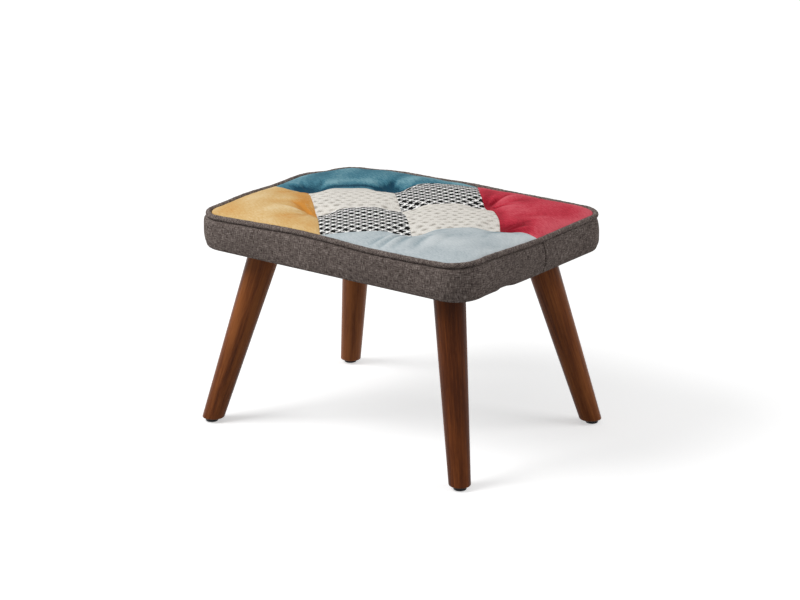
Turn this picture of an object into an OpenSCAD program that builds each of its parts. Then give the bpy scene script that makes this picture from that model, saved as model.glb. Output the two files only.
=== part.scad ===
// Patchwork footstool on four splayed, tapered wooden legs.
// The origin is on the floor under the middle of the seat. X runs along the long side, Z is up,
// and the long side at -Y is the front.

/* [Seat] */
// Length of the seat between the centre lines of the piping on its short sides
seat_len = 536; // [460:4:640]
// Width of the seat between the centre lines of the piping on its long sides
seat_wid = 396; // [340:4:480]
// Radius of the piping's centre line round each corner
corner_r = 44; // [38:1:60]
// Height of the underside of the seat board above the floor
board_z = 308; // [240:2:380]
// Thickness of the plywood seat board
board_t = 15; // [13:1:20]
// Thickness of the foam block
foam_t = 27; // [20:1:50]
// Thickness of the wadding sheet over the foam
wadding_t = 6; // [4:1:10]
// Gap between parts that are slipped over or into each other
slip_gap = 0.3; // [0.2:0.05:0.5]
// Gap round threads, nails and twine in their holes
bore_gap = 0.1; // [0.05:0.05:0.2]

/* [Patchwork] */
// Height of the piping's centre line above the wadding
piping_rise = 9; // [8:0.5:12]
// Height of the seam between patch and piping over the piping's centre line
edge_lift = 1; // [0:0.5:2]
// Height that the middle of the cushion stands above its edge
crown = 8; // [4:1:16]
// Width of the rounded shoulder inside the piping
shoulder = 60; // [30:5:90]
// Depth of each tuft below the cushion round it
tuft_depth = 9; // [4:1:12]
// Width over which a tuft draws the cushion down
tuft_spread = 32; // [20:2:44]
// Height that the middle of a patch stands above its seams
patch_puff = 6; // [2:1:10]
// Sideways bow of the seams that run from front left to back right
scale_bow = 12; // [0:1:18]
// Sideways bow of the seams that run from back left to front right
cross_bow = 3; // [0:1:8]

/* [Piping and band] */
// Diameter of the piping
piping_d = 9; // [7:0.5:11]
// Diameter of the cord inside the piping
cord_d = 5; // [3:0.5:5.5]
// Height that the piping rises where the front seam pulls it up
piping_wave = 9; // [0:1:12]
// Distance that the band bulges out beyond its top edge
band_bulge = 2.5; // [0:0.5:5]
// Distance that the band hangs below the seat board
band_drop = 3; // [2:0.5:5]
// Distance of the band's sewn seam behind the middle of the right side
band_seam_y = 12; // [4:1:20]
// Thickness of the band's cloth
cloth_t = 1.2; // [0.8:0.1:1.6]
// Width of the band's cloth turned under the seat board
turn_under = 28; // [22:1:30]
// Thickness of the dust cover
dust_t = 0.8; // [0.5:0.1:1.2]
// Width of the dust cover that laps over the turned cloth
dust_lap = 14; // [12:1:16]

/* [Legs] */
// Distance from the short side's piping to the middle of a leg plate
leg_inset_x = 84; // [72:1:96]
// Distance from the long side's piping to the middle of a leg plate
leg_inset_y = 76; // [70:1:90]
// Distance that each foot stands out beyond its leg plate along the seat
foot_out_x = 72; // [40:1:90]
// Distance that each foot stands out beyond its leg plate across the seat
foot_out_y = 66; // [40:1:90]
// Diameter of the leg at its top
leg_top_d = 52; // [44:1:56]
// Diameter of the leg at the floor
leg_foot_d = 35; // [28:1:42]
// Chamfer round the foot of the leg
foot_chamfer = 2; // [1:0.5:3]
// Diameter of the plastic glide
glide_d = 21; // [18:1:26]
// Height of the plastic glide
glide_h = 6.5; // [5:0.5:9]

/* [Leg fittings] */
// Side of the square leg plate
plate_w = 64; // [62:1:70]
// Thickness of the leg plate
plate_t = 2.5; // [2:0.5:3]
// Corner radius of the leg plate
plate_r = 9; // [5:1:12]
// Diameter of the tilted boss on the leg plate
boss_d = 32; // [24:1:38]
// Diameter of the hanger bolt
bolt_d = 8; // [6:1:10]
// Length of the hanger bolt inside the leg
bolt_in_leg = 35; // [25:1:50]
// Length of the hanger bolt above the leg plate
bolt_nose = 5; // [3:0.5:8]
// Diameter of the leg plate's screws
screw_d = 4; // [3:0.5:5]
// Length of the leg plate's screws
screw_len = 14; // [11:1:15]
// Distance of a screw from the edges of the leg plate
screw_inset = 7; // [6:0.5:9]

/* [Small fastenings] */
// Width of a staple's crown
staple_w = 10; // [8:1:13]
// Thickness of a staple's wire
staple_t = 0.7; // [0.5:0.1:0.9]
// Length of a staple's legs inside the seat board
staple_leg = 6; // [4:1:8]
// Number of staples along each long side
staples_long = 9; // [6:1:14]
// Number of staples along each short side
staples_short = 6; // [4:1:9]
// Diameter of a glide nail's shank
nail_d = 2.4; // [2:0.2:3]
// Length of a glide nail inside the leg
nail_in_leg = 16; // [12:1:22]
// Diameter of the tufting twine
twine_d = 2; // [1.5:0.25:3]
// Diameter of a tufting washer
washer_d = 18; // [14:1:24]
// Thickness of a tufting washer
washer_t = 1.2; // [1:0.1:1.6]

/* [Hidden] */
$fn = 64;

// Heights of the layers, upwards from the seat board
foam_z = board_z + board_t;
wadding_z = foam_z + foam_t;
patch_z = wadding_z + wadding_t;
piping_z = patch_z + piping_rise;

// The seat's outline: half sizes of the piping's centre line, and how far in the core lies
half_len = seat_len / 2;
half_wid = seat_wid / 2;
piping_r = piping_d / 2;
core_in = piping_r + slip_gap;

// Tufts: places as shares of the half sizes
tuft_end_share = 0.73;
tuft_mid_x_share = 0.36;
tuft_mid_y_share = 0.51;
tuft_end_x = tuft_end_share * half_len;
tuft_mid = [tuft_mid_x_share * half_len, tuft_mid_y_share * half_wid];
TUFTS = [
    [0, 0], [-tuft_end_x, 0], [tuft_end_x, 0],
    [-tuft_mid.x, -tuft_mid.y], [tuft_mid.x, -tuft_mid.y],
    [-tuft_mid.x, tuft_mid.y], [tuft_mid.x, tuft_mid.y]
];

// Waves of the piping: places as shares of the half sizes, heights of the front wave,
// and spreads of the seat's width. They are a rise in front, a small rise on the left,
// a dip at the back left corner and a slight fall at the back right corner.
wave_place_shares = [[-0.13, -1], [-1, 0.2], [-1, 1], [1, 1]];
wave_height_shares = [1, 0.3, -0.6, -0.3];
wave_spread_shares = [0.17, 0.1, 0.2, 0.3];

// Numbers of steps: from a side's middle to the end tuft, along a seam, across a corner patch,
// and along half a short side, a corner and half a long side. The first and twice the second
// together equal the last three together.
end_steps = 3;
seam_steps = 9;
across_steps = 7;
short_steps = 6;
corner_steps = 6;
long_steps = 9;
quarter_steps = short_steps + corner_steps + long_steps;
loop_steps = 4 * quarter_steps;
piping_sides = 8;
cord_sides = 6;
bulge_steps = 5;

// The leg's line: its plate on the dust cover, its tilt and the turn of that tilt
plate_z = board_z - dust_t;
leg_x = half_len - leg_inset_x;
leg_y = half_wid - leg_inset_y;
leg_turn = atan2(foot_out_y, foot_out_x);
leg_tilt = atan2(norm([foot_out_x, foot_out_y]), plate_z);
leg_line = norm([foot_out_x, foot_out_y, plate_z]);
leg_clear = slip_gap + plate_t + leg_top_d / 2 * sin(leg_tilt);
leg_drop = leg_clear / cos(leg_tilt);
foot_x = leg_x + foot_out_x;
foot_y = leg_y + foot_out_y;
overrun = leg_foot_d;

// Fastenings that follow from the sizes above
nail_head_d = 3 * nail_d;
nail_head_t = nail_d / 2;
nail_recess = 2 * nail_head_t;
screw_head_d = 2 * screw_d;
screw_head_t = screw_d / 2;
knot_d = 2.5 * twine_d;
knot_t = twine_d;
washer_z = board_z + slip_gap + knot_t;
flange_in = core_in + turn_under;
band_staple_in = core_in + (turn_under - dust_lap) / 2;
dust_staple_in = flange_in - dust_lap / 2;

// Outline of the seat

// A point on a quarter of the outline that lies out from the piping's centre line. Step 0 is the
// middle of the short side, and the last step is the middle of the long side.
function quarter_pt(k, out) =
    k <= short_steps
        ? [half_len + out, (half_wid - corner_r) * k / short_steps]
    : k <= short_steps + corner_steps
        ? [half_len - corner_r, half_wid - corner_r]
            + (corner_r + out) * [cos(corner_turn(k)), sin(corner_turn(k))]
    : [(half_len - corner_r) * (quarter_steps - k) / long_steps, half_wid + out];

function corner_turn(k) = 90 * (k - short_steps) / corner_steps;

// The same all the way round, from the middle of the right side towards the back
function loop_pt(i, out) =
    let (turn = floor(i / quarter_steps), k = i - turn * quarter_steps)
    turn == 0 ? quarter_pt(k, out)
    : turn == 1 ? side_flip(quarter_pt(quarter_steps - k, out), -1, 1)
    : turn == 2 ? side_flip(quarter_pt(k, out), -1, -1)
    : turn == 3 ? side_flip(quarter_pt(quarter_steps - k, out), 1, -1)
    : quarter_pt(0, out);

function side_flip(p, sx, sy) = [sx * p.x, sy * p.y];

// Distance of a point inside the outline of the patchwork
function inset_of(p) =
    let (
        dx = abs(p.x) - (half_len - corner_r),
        dy = abs(p.y) - (half_wid - corner_r)
    )
    corner_r - core_in - norm([max(dx, 0), max(dy, 0)]) - min(max(dx, dy), 0);

// Height that the piping's waves add at a point
function wave_at(p) = piping_wave * wave_sum(p);
function wave_sum(p) = [
    for (w = [0 : len(wave_height_shares) - 1])
        wave_height_shares[w] * exp(-pow(
            norm(p - side_flip([half_len, half_wid], wave_place_shares[w].x, wave_place_shares[w].y))
            / (wave_spread_shares[w] * seat_wid), 2))
] * [for (w = wave_height_shares) 1];

// Height of the top of the patchwork at a point, before the patch's own puff
function top_z(p) =
    piping_z + edge_lift + wave_at(p)
    + crown * (1 - pow(1 - min(max(inset_of(p), 0) / shoulder, 1), 2))
    - tuft_depth * ([for (t = TUFTS) exp(-pow(norm(p - t) / tuft_spread, 2))] * [for (t = TUFTS) 1]);

// Seams between patches

// A bowed seam between two points. Both ends give the same curve.
function seam_pt(a, b, t) = a.x <= b.x ? bowed_pt(a, b, t) : bowed_pt(b, a, 1 - t);
function bowed_pt(a, b, t) =
    let (d = (b - a) / norm(b - a), bow = b.y > a.y ? scale_bow : b.y < a.y ? cross_bow : 0)
    a + (b - a) * t + [-d.y, d.x] * bow * 4 * t * (1 - t);

// Closed solid between a grid of top points and the same grid at a flat height.
// Where the grid is pinched, all points of its first and last row are one.
function grid_index(i, j, ni, nj, pinch) = i * (nj + 1) + (pinch && (i == 0 || i == ni) ? 0 : j);

function grid_border(ni, nj, pinch) = [
    for (i = [0 : ni - 1]) grid_index(i, 0, ni, nj, pinch),
    for (j = [0 : nj - 1]) grid_index(ni, j, ni, nj, pinch),
    for (i = [ni : -1 : 1]) grid_index(i, nj, ni, nj, pinch),
    for (j = [nj : -1 : 1]) grid_index(0, j, ni, nj, pinch)
];

function quad_faces(q) = [for (f = [[q[0], q[1], q[2]], [q[0], q[2], q[3]]]) if (is_face(f)) f];
function is_face(f) = f[0] != f[1] && f[1] != f[2] && f[2] != f[0];
function turned(faces, flip) = [for (f = faces) flip ? [f[2], f[1], f[0]] : f];

function grid_faces(ni, nj, pinch) =
    let (count = (ni + 1) * (nj + 1), border = grid_border(ni, nj, pinch), m = len(border))
    [
        for (i = [0 : ni - 1], j = [0 : nj - 1])
            let (q = [
                grid_index(i, j, ni, nj, pinch), grid_index(i, j + 1, ni, nj, pinch),
                grid_index(i + 1, j + 1, ni, nj, pinch), grid_index(i + 1, j, ni, nj, pinch)
            ])
            each concat(quad_faces(q), quad_faces([for (n = [3 : -1 : 0]) q[n] + count])),
        for (n = [0 : m - 1])
            let (a = border[n], b = border[(n + 1) % m])
            if (a != b) each quad_faces([a, b, b + count, a + count])
    ];

module padded_patch(grid, ni, nj, pinch, flip) {
    flat = [for (p = grid) [p.x, p.y, patch_z]];
    polyhedron(points = concat(grid, flat), faces = turned(grid_faces(ni, nj, pinch), flip));
}

// Height of a patch's own puff, which is nothing along its seams
function puff_at(u, v) = patch_puff * sqrt(max(sin(180 * u) * sin(180 * v), 0));

// One of the four patches in the middle, between its corners to the west, north, east and south
module middle_patch(w, n, e, s) {
    grid = [
        for (i = [0 : seam_steps], j = [0 : seam_steps])
            let (
                u = i / seam_steps, v = j / seam_steps,
                p = (1 - v) * seam_pt(w, n, u) + v * seam_pt(s, e, u)
                    + (1 - u) * seam_pt(w, s, v) + u * seam_pt(n, e, v)
                    - (1 - u) * (1 - v) * w - u * (1 - v) * n - (1 - u) * v * s - u * v * e
            )
            [p.x, p.y, top_z(p) + puff_at(u, v)]
    ];
    padded_patch(grid, seam_steps, seam_steps, false, true);
}

// Points where seams meet the piping in the middle of a side
function side_end(sx) = [sx * (half_len - core_in), 0];
function long_end(sy) = [0, sy * (half_wid - core_in)];

// The seams that a corner patch shares with its neighbours, from the short side to the long side
function inner_pt(i, sx, sy) =
    let (end_tuft = [sx * tuft_end_x, 0], mid_tuft = side_flip(tuft_mid, sx, sy))
    i <= end_steps ? seam_pt(side_end(sx), end_tuft, i / end_steps)
    : i <= end_steps + seam_steps ? seam_pt(end_tuft, mid_tuft, (i - end_steps) / seam_steps)
    : seam_pt(mid_tuft, long_end(sy), (i - end_steps - seam_steps) / seam_steps);

// One of the four patches that reach the piping, in the corner with the signs sx and sy
module corner_patch(sx, sy) {
    grid = [
        for (i = [0 : quarter_steps], j = [0 : across_steps])
            let (
                v = j / across_steps,
                p = (1 - v) * inner_pt(i, sx, sy)
                    + v * side_flip(quarter_pt(i, -core_in), sx, sy)
            )
            [p.x, p.y, top_z(p) + puff_at(i / quarter_steps, v)]
    ];
    padded_patch(grid, quarter_steps, across_steps, true, sx * sy > 0);
}

module patch_yellow() { color("#dcb066") corner_patch(-1, -1); }
module patch_teal() { color("#3f7f96") corner_patch(-1, 1); }
module patch_red() { color("#c2334d") corner_patch(1, 1); }
module patch_light_blue() { color("#b9c8d0") corner_patch(1, -1); }

module patch_cream_left() {
    color("#e1dad0")
    middle_patch([-tuft_end_x, 0], side_flip(tuft_mid, -1, 1), [0, 0], side_flip(tuft_mid, -1, -1));
}

module patch_cream_right() {
    color("#e1dad0")
    middle_patch([0, 0], tuft_mid, [tuft_end_x, 0], side_flip(tuft_mid, 1, -1));
}

module patch_houndstooth_front() {
    color("#8a8a88")
    middle_patch(side_flip(tuft_mid, -1, -1), [0, 0], side_flip(tuft_mid, 1, -1), long_end(-1));
}

module patch_houndstooth_back() {
    color("#8a8a88")
    middle_patch(side_flip(tuft_mid, -1, 1), long_end(1), tuft_mid, [0, 0]);
}

// Piping and band

// Faces along a tube between rings of points. A closed tube ends on its first ring.
function tube_faces(first, rings, sides, closed, flip) = turned([
    for (i = [0 : rings - (closed ? 1 : 2)], j = [0 : sides - 1])
        let (a = i * sides, b = (i + 1) % rings * sides, k = (j + 1) % sides)
        each quad_faces([first + a + j, first + a + k, first + b + k, first + b + j])
], flip);

// Flat ring between the end of a tube's outside and the end of its bore
function tube_end_faces(outer, inner, sides, flip) = turned([
    for (j = [0 : sides - 1])
        let (k = (j + 1) % sides)
        each quad_faces([outer + j, outer + k, inner + k, inner + j])
], flip);

// A place along the piping, whose two ends meet in the middle of the left side
function piping_pt(n, out) =
    n == 0 ? [-half_len - out, -slip_gap / 2]
    : n == loop_steps ? [-half_len - out, slip_gap / 2]
    : loop_pt((n + loop_steps / 2) % loop_steps, out);

function piping_rings(r, sides, last) = [
    for (n = [0 : last], j = [0 : sides - 1])
        let (
            turn = 360 * j / sides,
            p = piping_pt(n, r * cos(turn)),
            z = piping_z + wave_at(piping_pt(n, 0)) + r * sin(turn)
        )
        [p.x, p.y, z]
];

module piping_cover() {
    rings = loop_steps + 1;
    bore = rings * piping_sides;
    last = (rings - 1) * piping_sides;
    color("#5d544f")
    polyhedron(
        points = concat(
            piping_rings(piping_r, piping_sides, loop_steps),
            piping_rings(cord_d / 2 + slip_gap, piping_sides, loop_steps)
        ),
        faces = concat(
            tube_faces(0, rings, piping_sides, false, true),
            tube_faces(bore, rings, piping_sides, false, false),
            tube_end_faces(0, bore, piping_sides, false),
            tube_end_faces(last, bore + last, piping_sides, true)
        )
    );
}

module piping_cord() {
    color("#e8e2d4")
    polyhedron(
        points = piping_rings(cord_d / 2, cord_sides, loop_steps - 1),
        faces = tube_faces(0, loop_steps, cord_sides, true, true)
    );
}

// The band's section: distance out from the piping's centre line, and height. It starts in the
// inner angle under the seat board and goes up the wall, down the bulged face, round the lower
// edge and in under the board.
function band_section(top) =
    let (low = board_z - band_drop, face_low = board_z + band_drop, under = board_z - cloth_t)
    [
        [-piping_r, board_z],
        [-piping_r, top],
        for (n = [0 : bulge_steps])
            let (t = n / bulge_steps)
            [band_bulge * sin(180 * t), top + (face_low - top) * t],
        [-band_drop / 2, low + band_drop / 4],
        [-band_drop, low],
        [-core_in - band_drop, under],
        [-flange_in, under],
        [-flange_in, board_z]
    ];

// A step of the loop, or the sewn seam on the right side where the step is undefined
function band_pt(i, out) = is_undef(i) ? [half_len + out, band_seam_y] : loop_pt(i, out);

module band_strip(steps, flip) {
    rings = [
        for (i = steps)
            let (top = piping_z + wave_at(band_pt(i, 0)) - piping_r - slip_gap)
            [for (q = band_section(top)) let (p = band_pt(i, q[0])) [p.x, p.y, q[1]]]
    ];
    sides = len(rings[0]);
    last = (len(rings) - 1) * sides;
    polyhedron(
        points = [for (ring = rings) each ring],
        faces = turned(concat(
            [
                for (i = [0 : len(rings) - 2], j = [0 : sides - 1])
                    let (a = i * sides, b = a + sides, k = (j + 1) % sides)
                    each quad_faces([a + j, a + k, b + k, b + j])
            ],
            [for (j = [1 : sides - 2]) [0, j + 1, j]],
            [for (j = [1 : sides - 2]) [last, last + j, last + j + 1]]
        ), flip)
    );
}

module band_front() {
    color("#625853")
    difference() {
        band_strip([undef, for (i = [loop_steps : -1 : loop_steps / 2]) i], true);
        staple_cuts();
    }
}

module band_back() {
    color("#625853")
    difference() {
        band_strip([undef, for (i = [1 : loop_steps / 2]) i], false);
        staple_cuts();
    }
}

// Staples along the straight sides of a line that lies in from the piping's centre line

module along_sides(in) {
    for (side = [-1, 1]) {
        pitch_x = 2 * (half_len - corner_r) / staples_long;
        for (k = [0 : staples_long - 1])
            translate([(k - (staples_long - 1) / 2) * pitch_x, side * (half_wid - in), 0])
            children();
        pitch_y = 2 * (half_wid - corner_r) / staples_short;
        for (k = [0 : staples_short - 1])
            translate([side * (half_len - in), (k - (staples_short - 1) / 2) * pitch_y, 0])
            rotate(90)
            children();
    }
}

// A staple whose crown lies under a height, with its legs up in the seat board
module staple(under, gap) {
    leg_len = board_z - under + staple_leg;
    translate([-staple_w / 2 - gap, -staple_t / 2 - gap, under - staple_t])
    cube([staple_w + 2 * gap, staple_t + 2 * gap, staple_t]);
    for (side = [-1, 1])
        translate([side * (staple_w - staple_t) / 2, 0, under - staple_t])
        translate([-staple_t / 2 - gap, -staple_t / 2 - gap, 0])
        cube([staple_t + 2 * gap, staple_t + 2 * gap, staple_t + leg_len + gap]);
}

module staple_cuts() {
    along_sides(band_staple_in) staple(board_z - cloth_t, bore_gap);
    along_sides(dust_staple_in) staple(board_z - cloth_t - dust_t, bore_gap);
}

module band_staples() {
    color("silver") along_sides(band_staple_in) staple(board_z - cloth_t, 0);
}

module dust_cover_staples() {
    color("silver") along_sides(dust_staple_in) staple(board_z - cloth_t - dust_t, 0);
}

// Core of the seat

module seat_outline(in) {
    r = corner_r - in;
    square([seat_len - 2 * in, seat_wid - 2 * corner_r], center = true);
    square([seat_len - 2 * corner_r, seat_wid - 2 * in], center = true);
    for (sx = [-1, 1], sy = [-1, 1])
        translate([sx * (half_len - corner_r), sy * (half_wid - corner_r)]) circle(r = r);
}

module at_tufts() {
    for (t = TUFTS) translate([t.x, t.y, 0]) children();
}

module wadding_sheet() {
    color("white")
    difference() {
        translate([0, 0, wadding_z]) linear_extrude(wadding_t) seat_outline(core_in);
        at_tufts() {
            translate([0, 0, wadding_z - overrun]) cylinder(h = 2 * overrun, d = twine_d + 2 * bore_gap);
            translate([0, 0, patch_z - knot_t])
            cylinder(h = knot_t + overrun, d = knot_d + 2 * bore_gap);
        }
    }
}

module foam_block() {
    color("#f0e6b4")
    difference() {
        translate([0, 0, foam_z]) linear_extrude(foam_t) seat_outline(core_in);
        at_tufts()
        translate([0, 0, foam_z - overrun])
        cylinder(h = foam_t + 2 * overrun, d = twine_d + 2 * bore_gap);
    }
}

module seat_board() {
    color("#c8a878")
    difference() {
        translate([0, 0, board_z]) linear_extrude(board_t) seat_outline(core_in);
        at_tufts() {
            translate([0, 0, board_z - overrun])
            cylinder(h = board_t + 2 * overrun, d = twine_d + 2 * bore_gap);
            translate([0, 0, board_z - overrun])
            cylinder(h = washer_z + washer_t - board_z + overrun, d = washer_d + 2 * slip_gap);
        }
        for (sx = [-1, 1], sy = [-1, 1]) {
            at_plate(sx, sy) screw_holes();
            at_leg(sx, sy) bolt_hole();
        }
        staple_cuts();
    }
}

module dust_cover() {
    inner = flange_in + slip_gap;
    lap_z = board_z - cloth_t - dust_t;
    color("#202020")
    difference() {
        union() {
            translate([0, 0, board_z - dust_t]) linear_extrude(dust_t) seat_outline(inner);
            translate([0, 0, lap_z]) linear_extrude(dust_t)
            difference() {
                seat_outline(flange_in - dust_lap);
                seat_outline(inner + 2 * dust_t);
            }
            translate([0, 0, lap_z]) linear_extrude(cloth_t + dust_t)
            difference() {
                seat_outline(inner);
                seat_outline(inner + 2 * dust_t);
            }
        }
        for (sx = [-1, 1], sy = [-1, 1]) {
            at_plate(sx, sy) screw_holes();
            at_leg(sx, sy) bolt_hole();
        }
        along_sides(dust_staple_in) staple(lap_z, bore_gap);
    }
}

module tuft_twines() {
    color("#d8d0c0")
    at_tufts() {
        translate([0, 0, board_z + slip_gap]) cylinder(h = knot_t, d = knot_d);
        translate([0, 0, board_z + slip_gap]) cylinder(h = patch_z - board_z - slip_gap, d = twine_d);
        translate([0, 0, patch_z - knot_t]) cylinder(h = knot_t, d = knot_d);
    }
}

module tuft_washers() {
    color("#303030")
    at_tufts()
    difference() {
        translate([0, 0, washer_z]) cylinder(h = washer_t, d = washer_d);
        translate([0, 0, washer_z - overrun])
        cylinder(h = washer_t + 2 * overrun, d = twine_d + 2 * bore_gap);
    }
}

// Legs and their fittings, made in the back right corner and mirrored to the others

module at_corner(sx, sy) {
    mirror([sx < 0 ? 1 : 0, 0, 0]) mirror([0, sy < 0 ? 1 : 0, 0]) children();
}

module at_plate(sx, sy) {
    at_corner(sx, sy) translate([leg_x, leg_y, plate_z]) children();
}

// The frame of the leg's own line: its zero is where the line meets the top of the leg plate
module at_leg(sx, sy) {
    at_plate(sx, sy) rotate([0, 0, leg_turn]) rotate([0, -leg_tilt, 0]) children();
}

module at_foot(sx, sy) {
    at_corner(sx, sy) translate([foot_x, foot_y, 0]) children();
}

module leg(sx, sy) {
    slope = (leg_top_d - leg_foot_d) / 2 / (leg_line - leg_drop);
    color("#6e4129")
    difference() {
        intersection() {
            at_leg(sx, sy)
            translate([0, 0, -leg_line - overrun])
            cylinder(
                h = leg_line + overrun - leg_drop,
                r1 = leg_foot_d / 2 - slope * overrun,
                r2 = leg_top_d / 2
            );
            at_foot(sx, sy)
            translate([0, 0, glide_h])
            cylinder(
                h = plate_z,
                r1 = leg_foot_d / 2 - foot_chamfer,
                r2 = leg_foot_d / 2 - foot_chamfer + plate_z
            );
        }
        at_leg(sx, sy)
        translate([0, 0, -leg_drop - bolt_in_leg - bore_gap])
        cylinder(h = bolt_in_leg + bore_gap + overrun, d = bolt_d + 2 * bore_gap);
        at_foot(sx, sy)
        translate([0, 0, glide_h - overrun])
        cylinder(h = overrun + nail_in_leg + bore_gap, d = nail_d + 2 * bore_gap);
    }
}

module leg_front_left() { leg(-1, -1); }
module leg_front_right() { leg(1, -1); }
module leg_back_left() { leg(-1, 1); }
module leg_back_right() { leg(1, 1); }

// A screw on the leg plate, countersunk from below. Its zero is on the top of the plate.
module screw(gap) {
    translate([0, 0, -plate_t]) {
        cylinder(h = screw_len + gap, d = screw_d + 2 * gap);
        cylinder(h = screw_head_t, d1 = screw_head_d + 2 * gap, d2 = screw_d + 2 * gap);
    }
}

module screw_places() {
    reach = plate_w / 2 - screw_inset;
    for (x = [-reach, reach], y = [-reach, reach]) translate([x, y, 0]) children();
}

module screw_holes() {
    screw_places() screw(bore_gap);
}

module bolt_hole() {
    translate([0, 0, -leg_drop - overrun])
    cylinder(h = leg_drop + overrun + bolt_nose + slip_gap, d = bolt_d + 2 * bore_gap);
}

module leg_plate(sx, sy) {
    color("#4a4a4c")
    difference() {
        union() {
            at_plate(sx, sy)
            translate([0, 0, -plate_t])
            linear_extrude(plate_t)
            union() {
                square([plate_w, plate_w - 2 * plate_r], center = true);
                square([plate_w - 2 * plate_r, plate_w], center = true);
                for (x = [-1, 1], y = [-1, 1])
                    translate([x, y] * (plate_w / 2 - plate_r)) circle(r = plate_r);
            }
            intersection() {
                at_leg(sx, sy) translate([0, 0, -leg_drop]) cylinder(h = 2 * leg_drop, d = boss_d);
                at_plate(sx, sy)
                translate([0, 0, -overrun - leg_drop])
                cylinder(h = overrun + leg_drop, r = plate_w / 2);
            }
        }
        at_leg(sx, sy) bolt_hole();
        at_plate(sx, sy) screw_holes();
    }
}

module leg_plate_front_left() { leg_plate(-1, -1); }
module leg_plate_front_right() { leg_plate(1, -1); }
module leg_plate_back_left() { leg_plate(-1, 1); }
module leg_plate_back_right() { leg_plate(1, 1); }

module hanger_bolt(sx, sy) {
    color("silver")
    at_leg(sx, sy)
    translate([0, 0, -leg_drop - bolt_in_leg]) {
        cylinder(h = bolt_d / 2, d1 = bolt_d / 2, d2 = bolt_d);
        translate([0, 0, bolt_d / 2])
        cylinder(h = bolt_in_leg + leg_drop + bolt_nose - bolt_d / 2, d = bolt_d);
    }
}

module hanger_bolt_front_left() { hanger_bolt(-1, -1); }
module hanger_bolt_front_right() { hanger_bolt(1, -1); }
module hanger_bolt_back_left() { hanger_bolt(-1, 1); }
module hanger_bolt_back_right() { hanger_bolt(1, 1); }

module leg_plate_screws() {
    color("silver")
    for (sx = [-1, 1], sy = [-1, 1]) at_plate(sx, sy) screw_places() screw(0);
}

module glide(sx, sy) {
    edge_r = glide_h / 4;
    color("#181818")
    at_foot(sx, sy)
    rotate_extrude()
    difference() {
        union() {
            square([glide_d / 2 - edge_r, glide_h]);
            translate([0, edge_r]) square([glide_d / 2, glide_h - edge_r]);
            translate([glide_d / 2 - edge_r, edge_r]) circle(r = edge_r);
        }
        translate([0, -overrun]) square([nail_d / 2 + bore_gap, 2 * overrun]);
        translate([0, -overrun]) square([nail_head_d / 2 + bore_gap, overrun + nail_recess]);
    }
}

module glide_front_left() { glide(-1, -1); }
module glide_front_right() { glide(1, -1); }
module glide_back_left() { glide(-1, 1); }
module glide_back_right() { glide(1, 1); }

module glide_nails() {
    color("silver")
    for (sx = [-1, 1], sy = [-1, 1])
        at_foot(sx, sy) {
            translate([0, 0, nail_recess - nail_head_t]) cylinder(h = nail_head_t, d = nail_head_d);
            translate([0, 0, nail_recess - nail_head_t])
            cylinder(h = glide_h + nail_in_leg - nail_recess + nail_head_t, d = nail_d);
        }
}

patch_yellow();
patch_teal();
patch_red();
patch_light_blue();
patch_cream_left();
patch_cream_right();
patch_houndstooth_front();
patch_houndstooth_back();
piping_cover();
piping_cord();
band_front();
band_back();
wadding_sheet();
foam_block();
seat_board();
dust_cover();
tuft_twines();
tuft_washers();
band_staples();
dust_cover_staples();
leg_front_left();
leg_front_right();
leg_back_left();
leg_back_right();
leg_plate_front_left();
leg_plate_front_right();
leg_plate_back_left();
leg_plate_back_right();
hanger_bolt_front_left();
hanger_bolt_front_right();
hanger_bolt_back_left();
hanger_bolt_back_right();
leg_plate_screws();
glide_front_left();
glide_front_right();
glide_back_left();
glide_back_right();
glide_nails();
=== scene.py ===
# %% [markdown]
# # A patchwork footstool
# This lesson dresses the construction model of a low footstool: a tufted patchwork cushion with a
# piped edge and a cloth band, on four splayed and tapered legs. The construction model fixes every
# size and place. Each step says what a piece or a finish is on the real stool, how it could be
# made, and why this way was chosen.

# %% Load the construction model
import math

import bmesh
import bpy
import numpy as np
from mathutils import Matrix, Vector


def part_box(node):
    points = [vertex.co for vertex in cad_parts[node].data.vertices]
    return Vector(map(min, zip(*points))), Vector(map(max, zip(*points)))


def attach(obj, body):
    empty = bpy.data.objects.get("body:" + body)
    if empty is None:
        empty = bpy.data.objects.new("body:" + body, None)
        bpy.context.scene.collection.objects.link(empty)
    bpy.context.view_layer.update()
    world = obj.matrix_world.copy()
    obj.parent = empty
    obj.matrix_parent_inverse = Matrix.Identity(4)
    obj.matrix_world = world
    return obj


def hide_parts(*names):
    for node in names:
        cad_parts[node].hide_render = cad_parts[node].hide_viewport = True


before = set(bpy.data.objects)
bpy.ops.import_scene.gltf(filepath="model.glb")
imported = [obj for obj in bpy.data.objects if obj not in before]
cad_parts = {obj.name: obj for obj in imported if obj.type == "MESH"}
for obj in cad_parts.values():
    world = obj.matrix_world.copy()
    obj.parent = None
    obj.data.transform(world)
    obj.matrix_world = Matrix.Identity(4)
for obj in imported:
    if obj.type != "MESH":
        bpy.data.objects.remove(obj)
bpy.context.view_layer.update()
MM = 0.001

# %% [markdown]
# ## The camera
# The stool was photographed from its front right corner, a little from above, with a long lens.
# A camera is placed by an angle of turn, an angle of height and a distance from a point inside the
# stool, because those are easy to picture. Their values come from a fit of the stool's edges and
# feet to the photograph, made outside this lesson.

# %% Camera
CAMERA_TURN = math.radians(37.067)
CAMERA_HEIGHT = math.radians(17.922)
CAMERA_DISTANCE = 4456.95 * MM
CAMERA_AIM = Vector((-4.44 * MM, 0.95 * MM, 211.8 * MM))
CAMERA_LENS = 121.53

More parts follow.
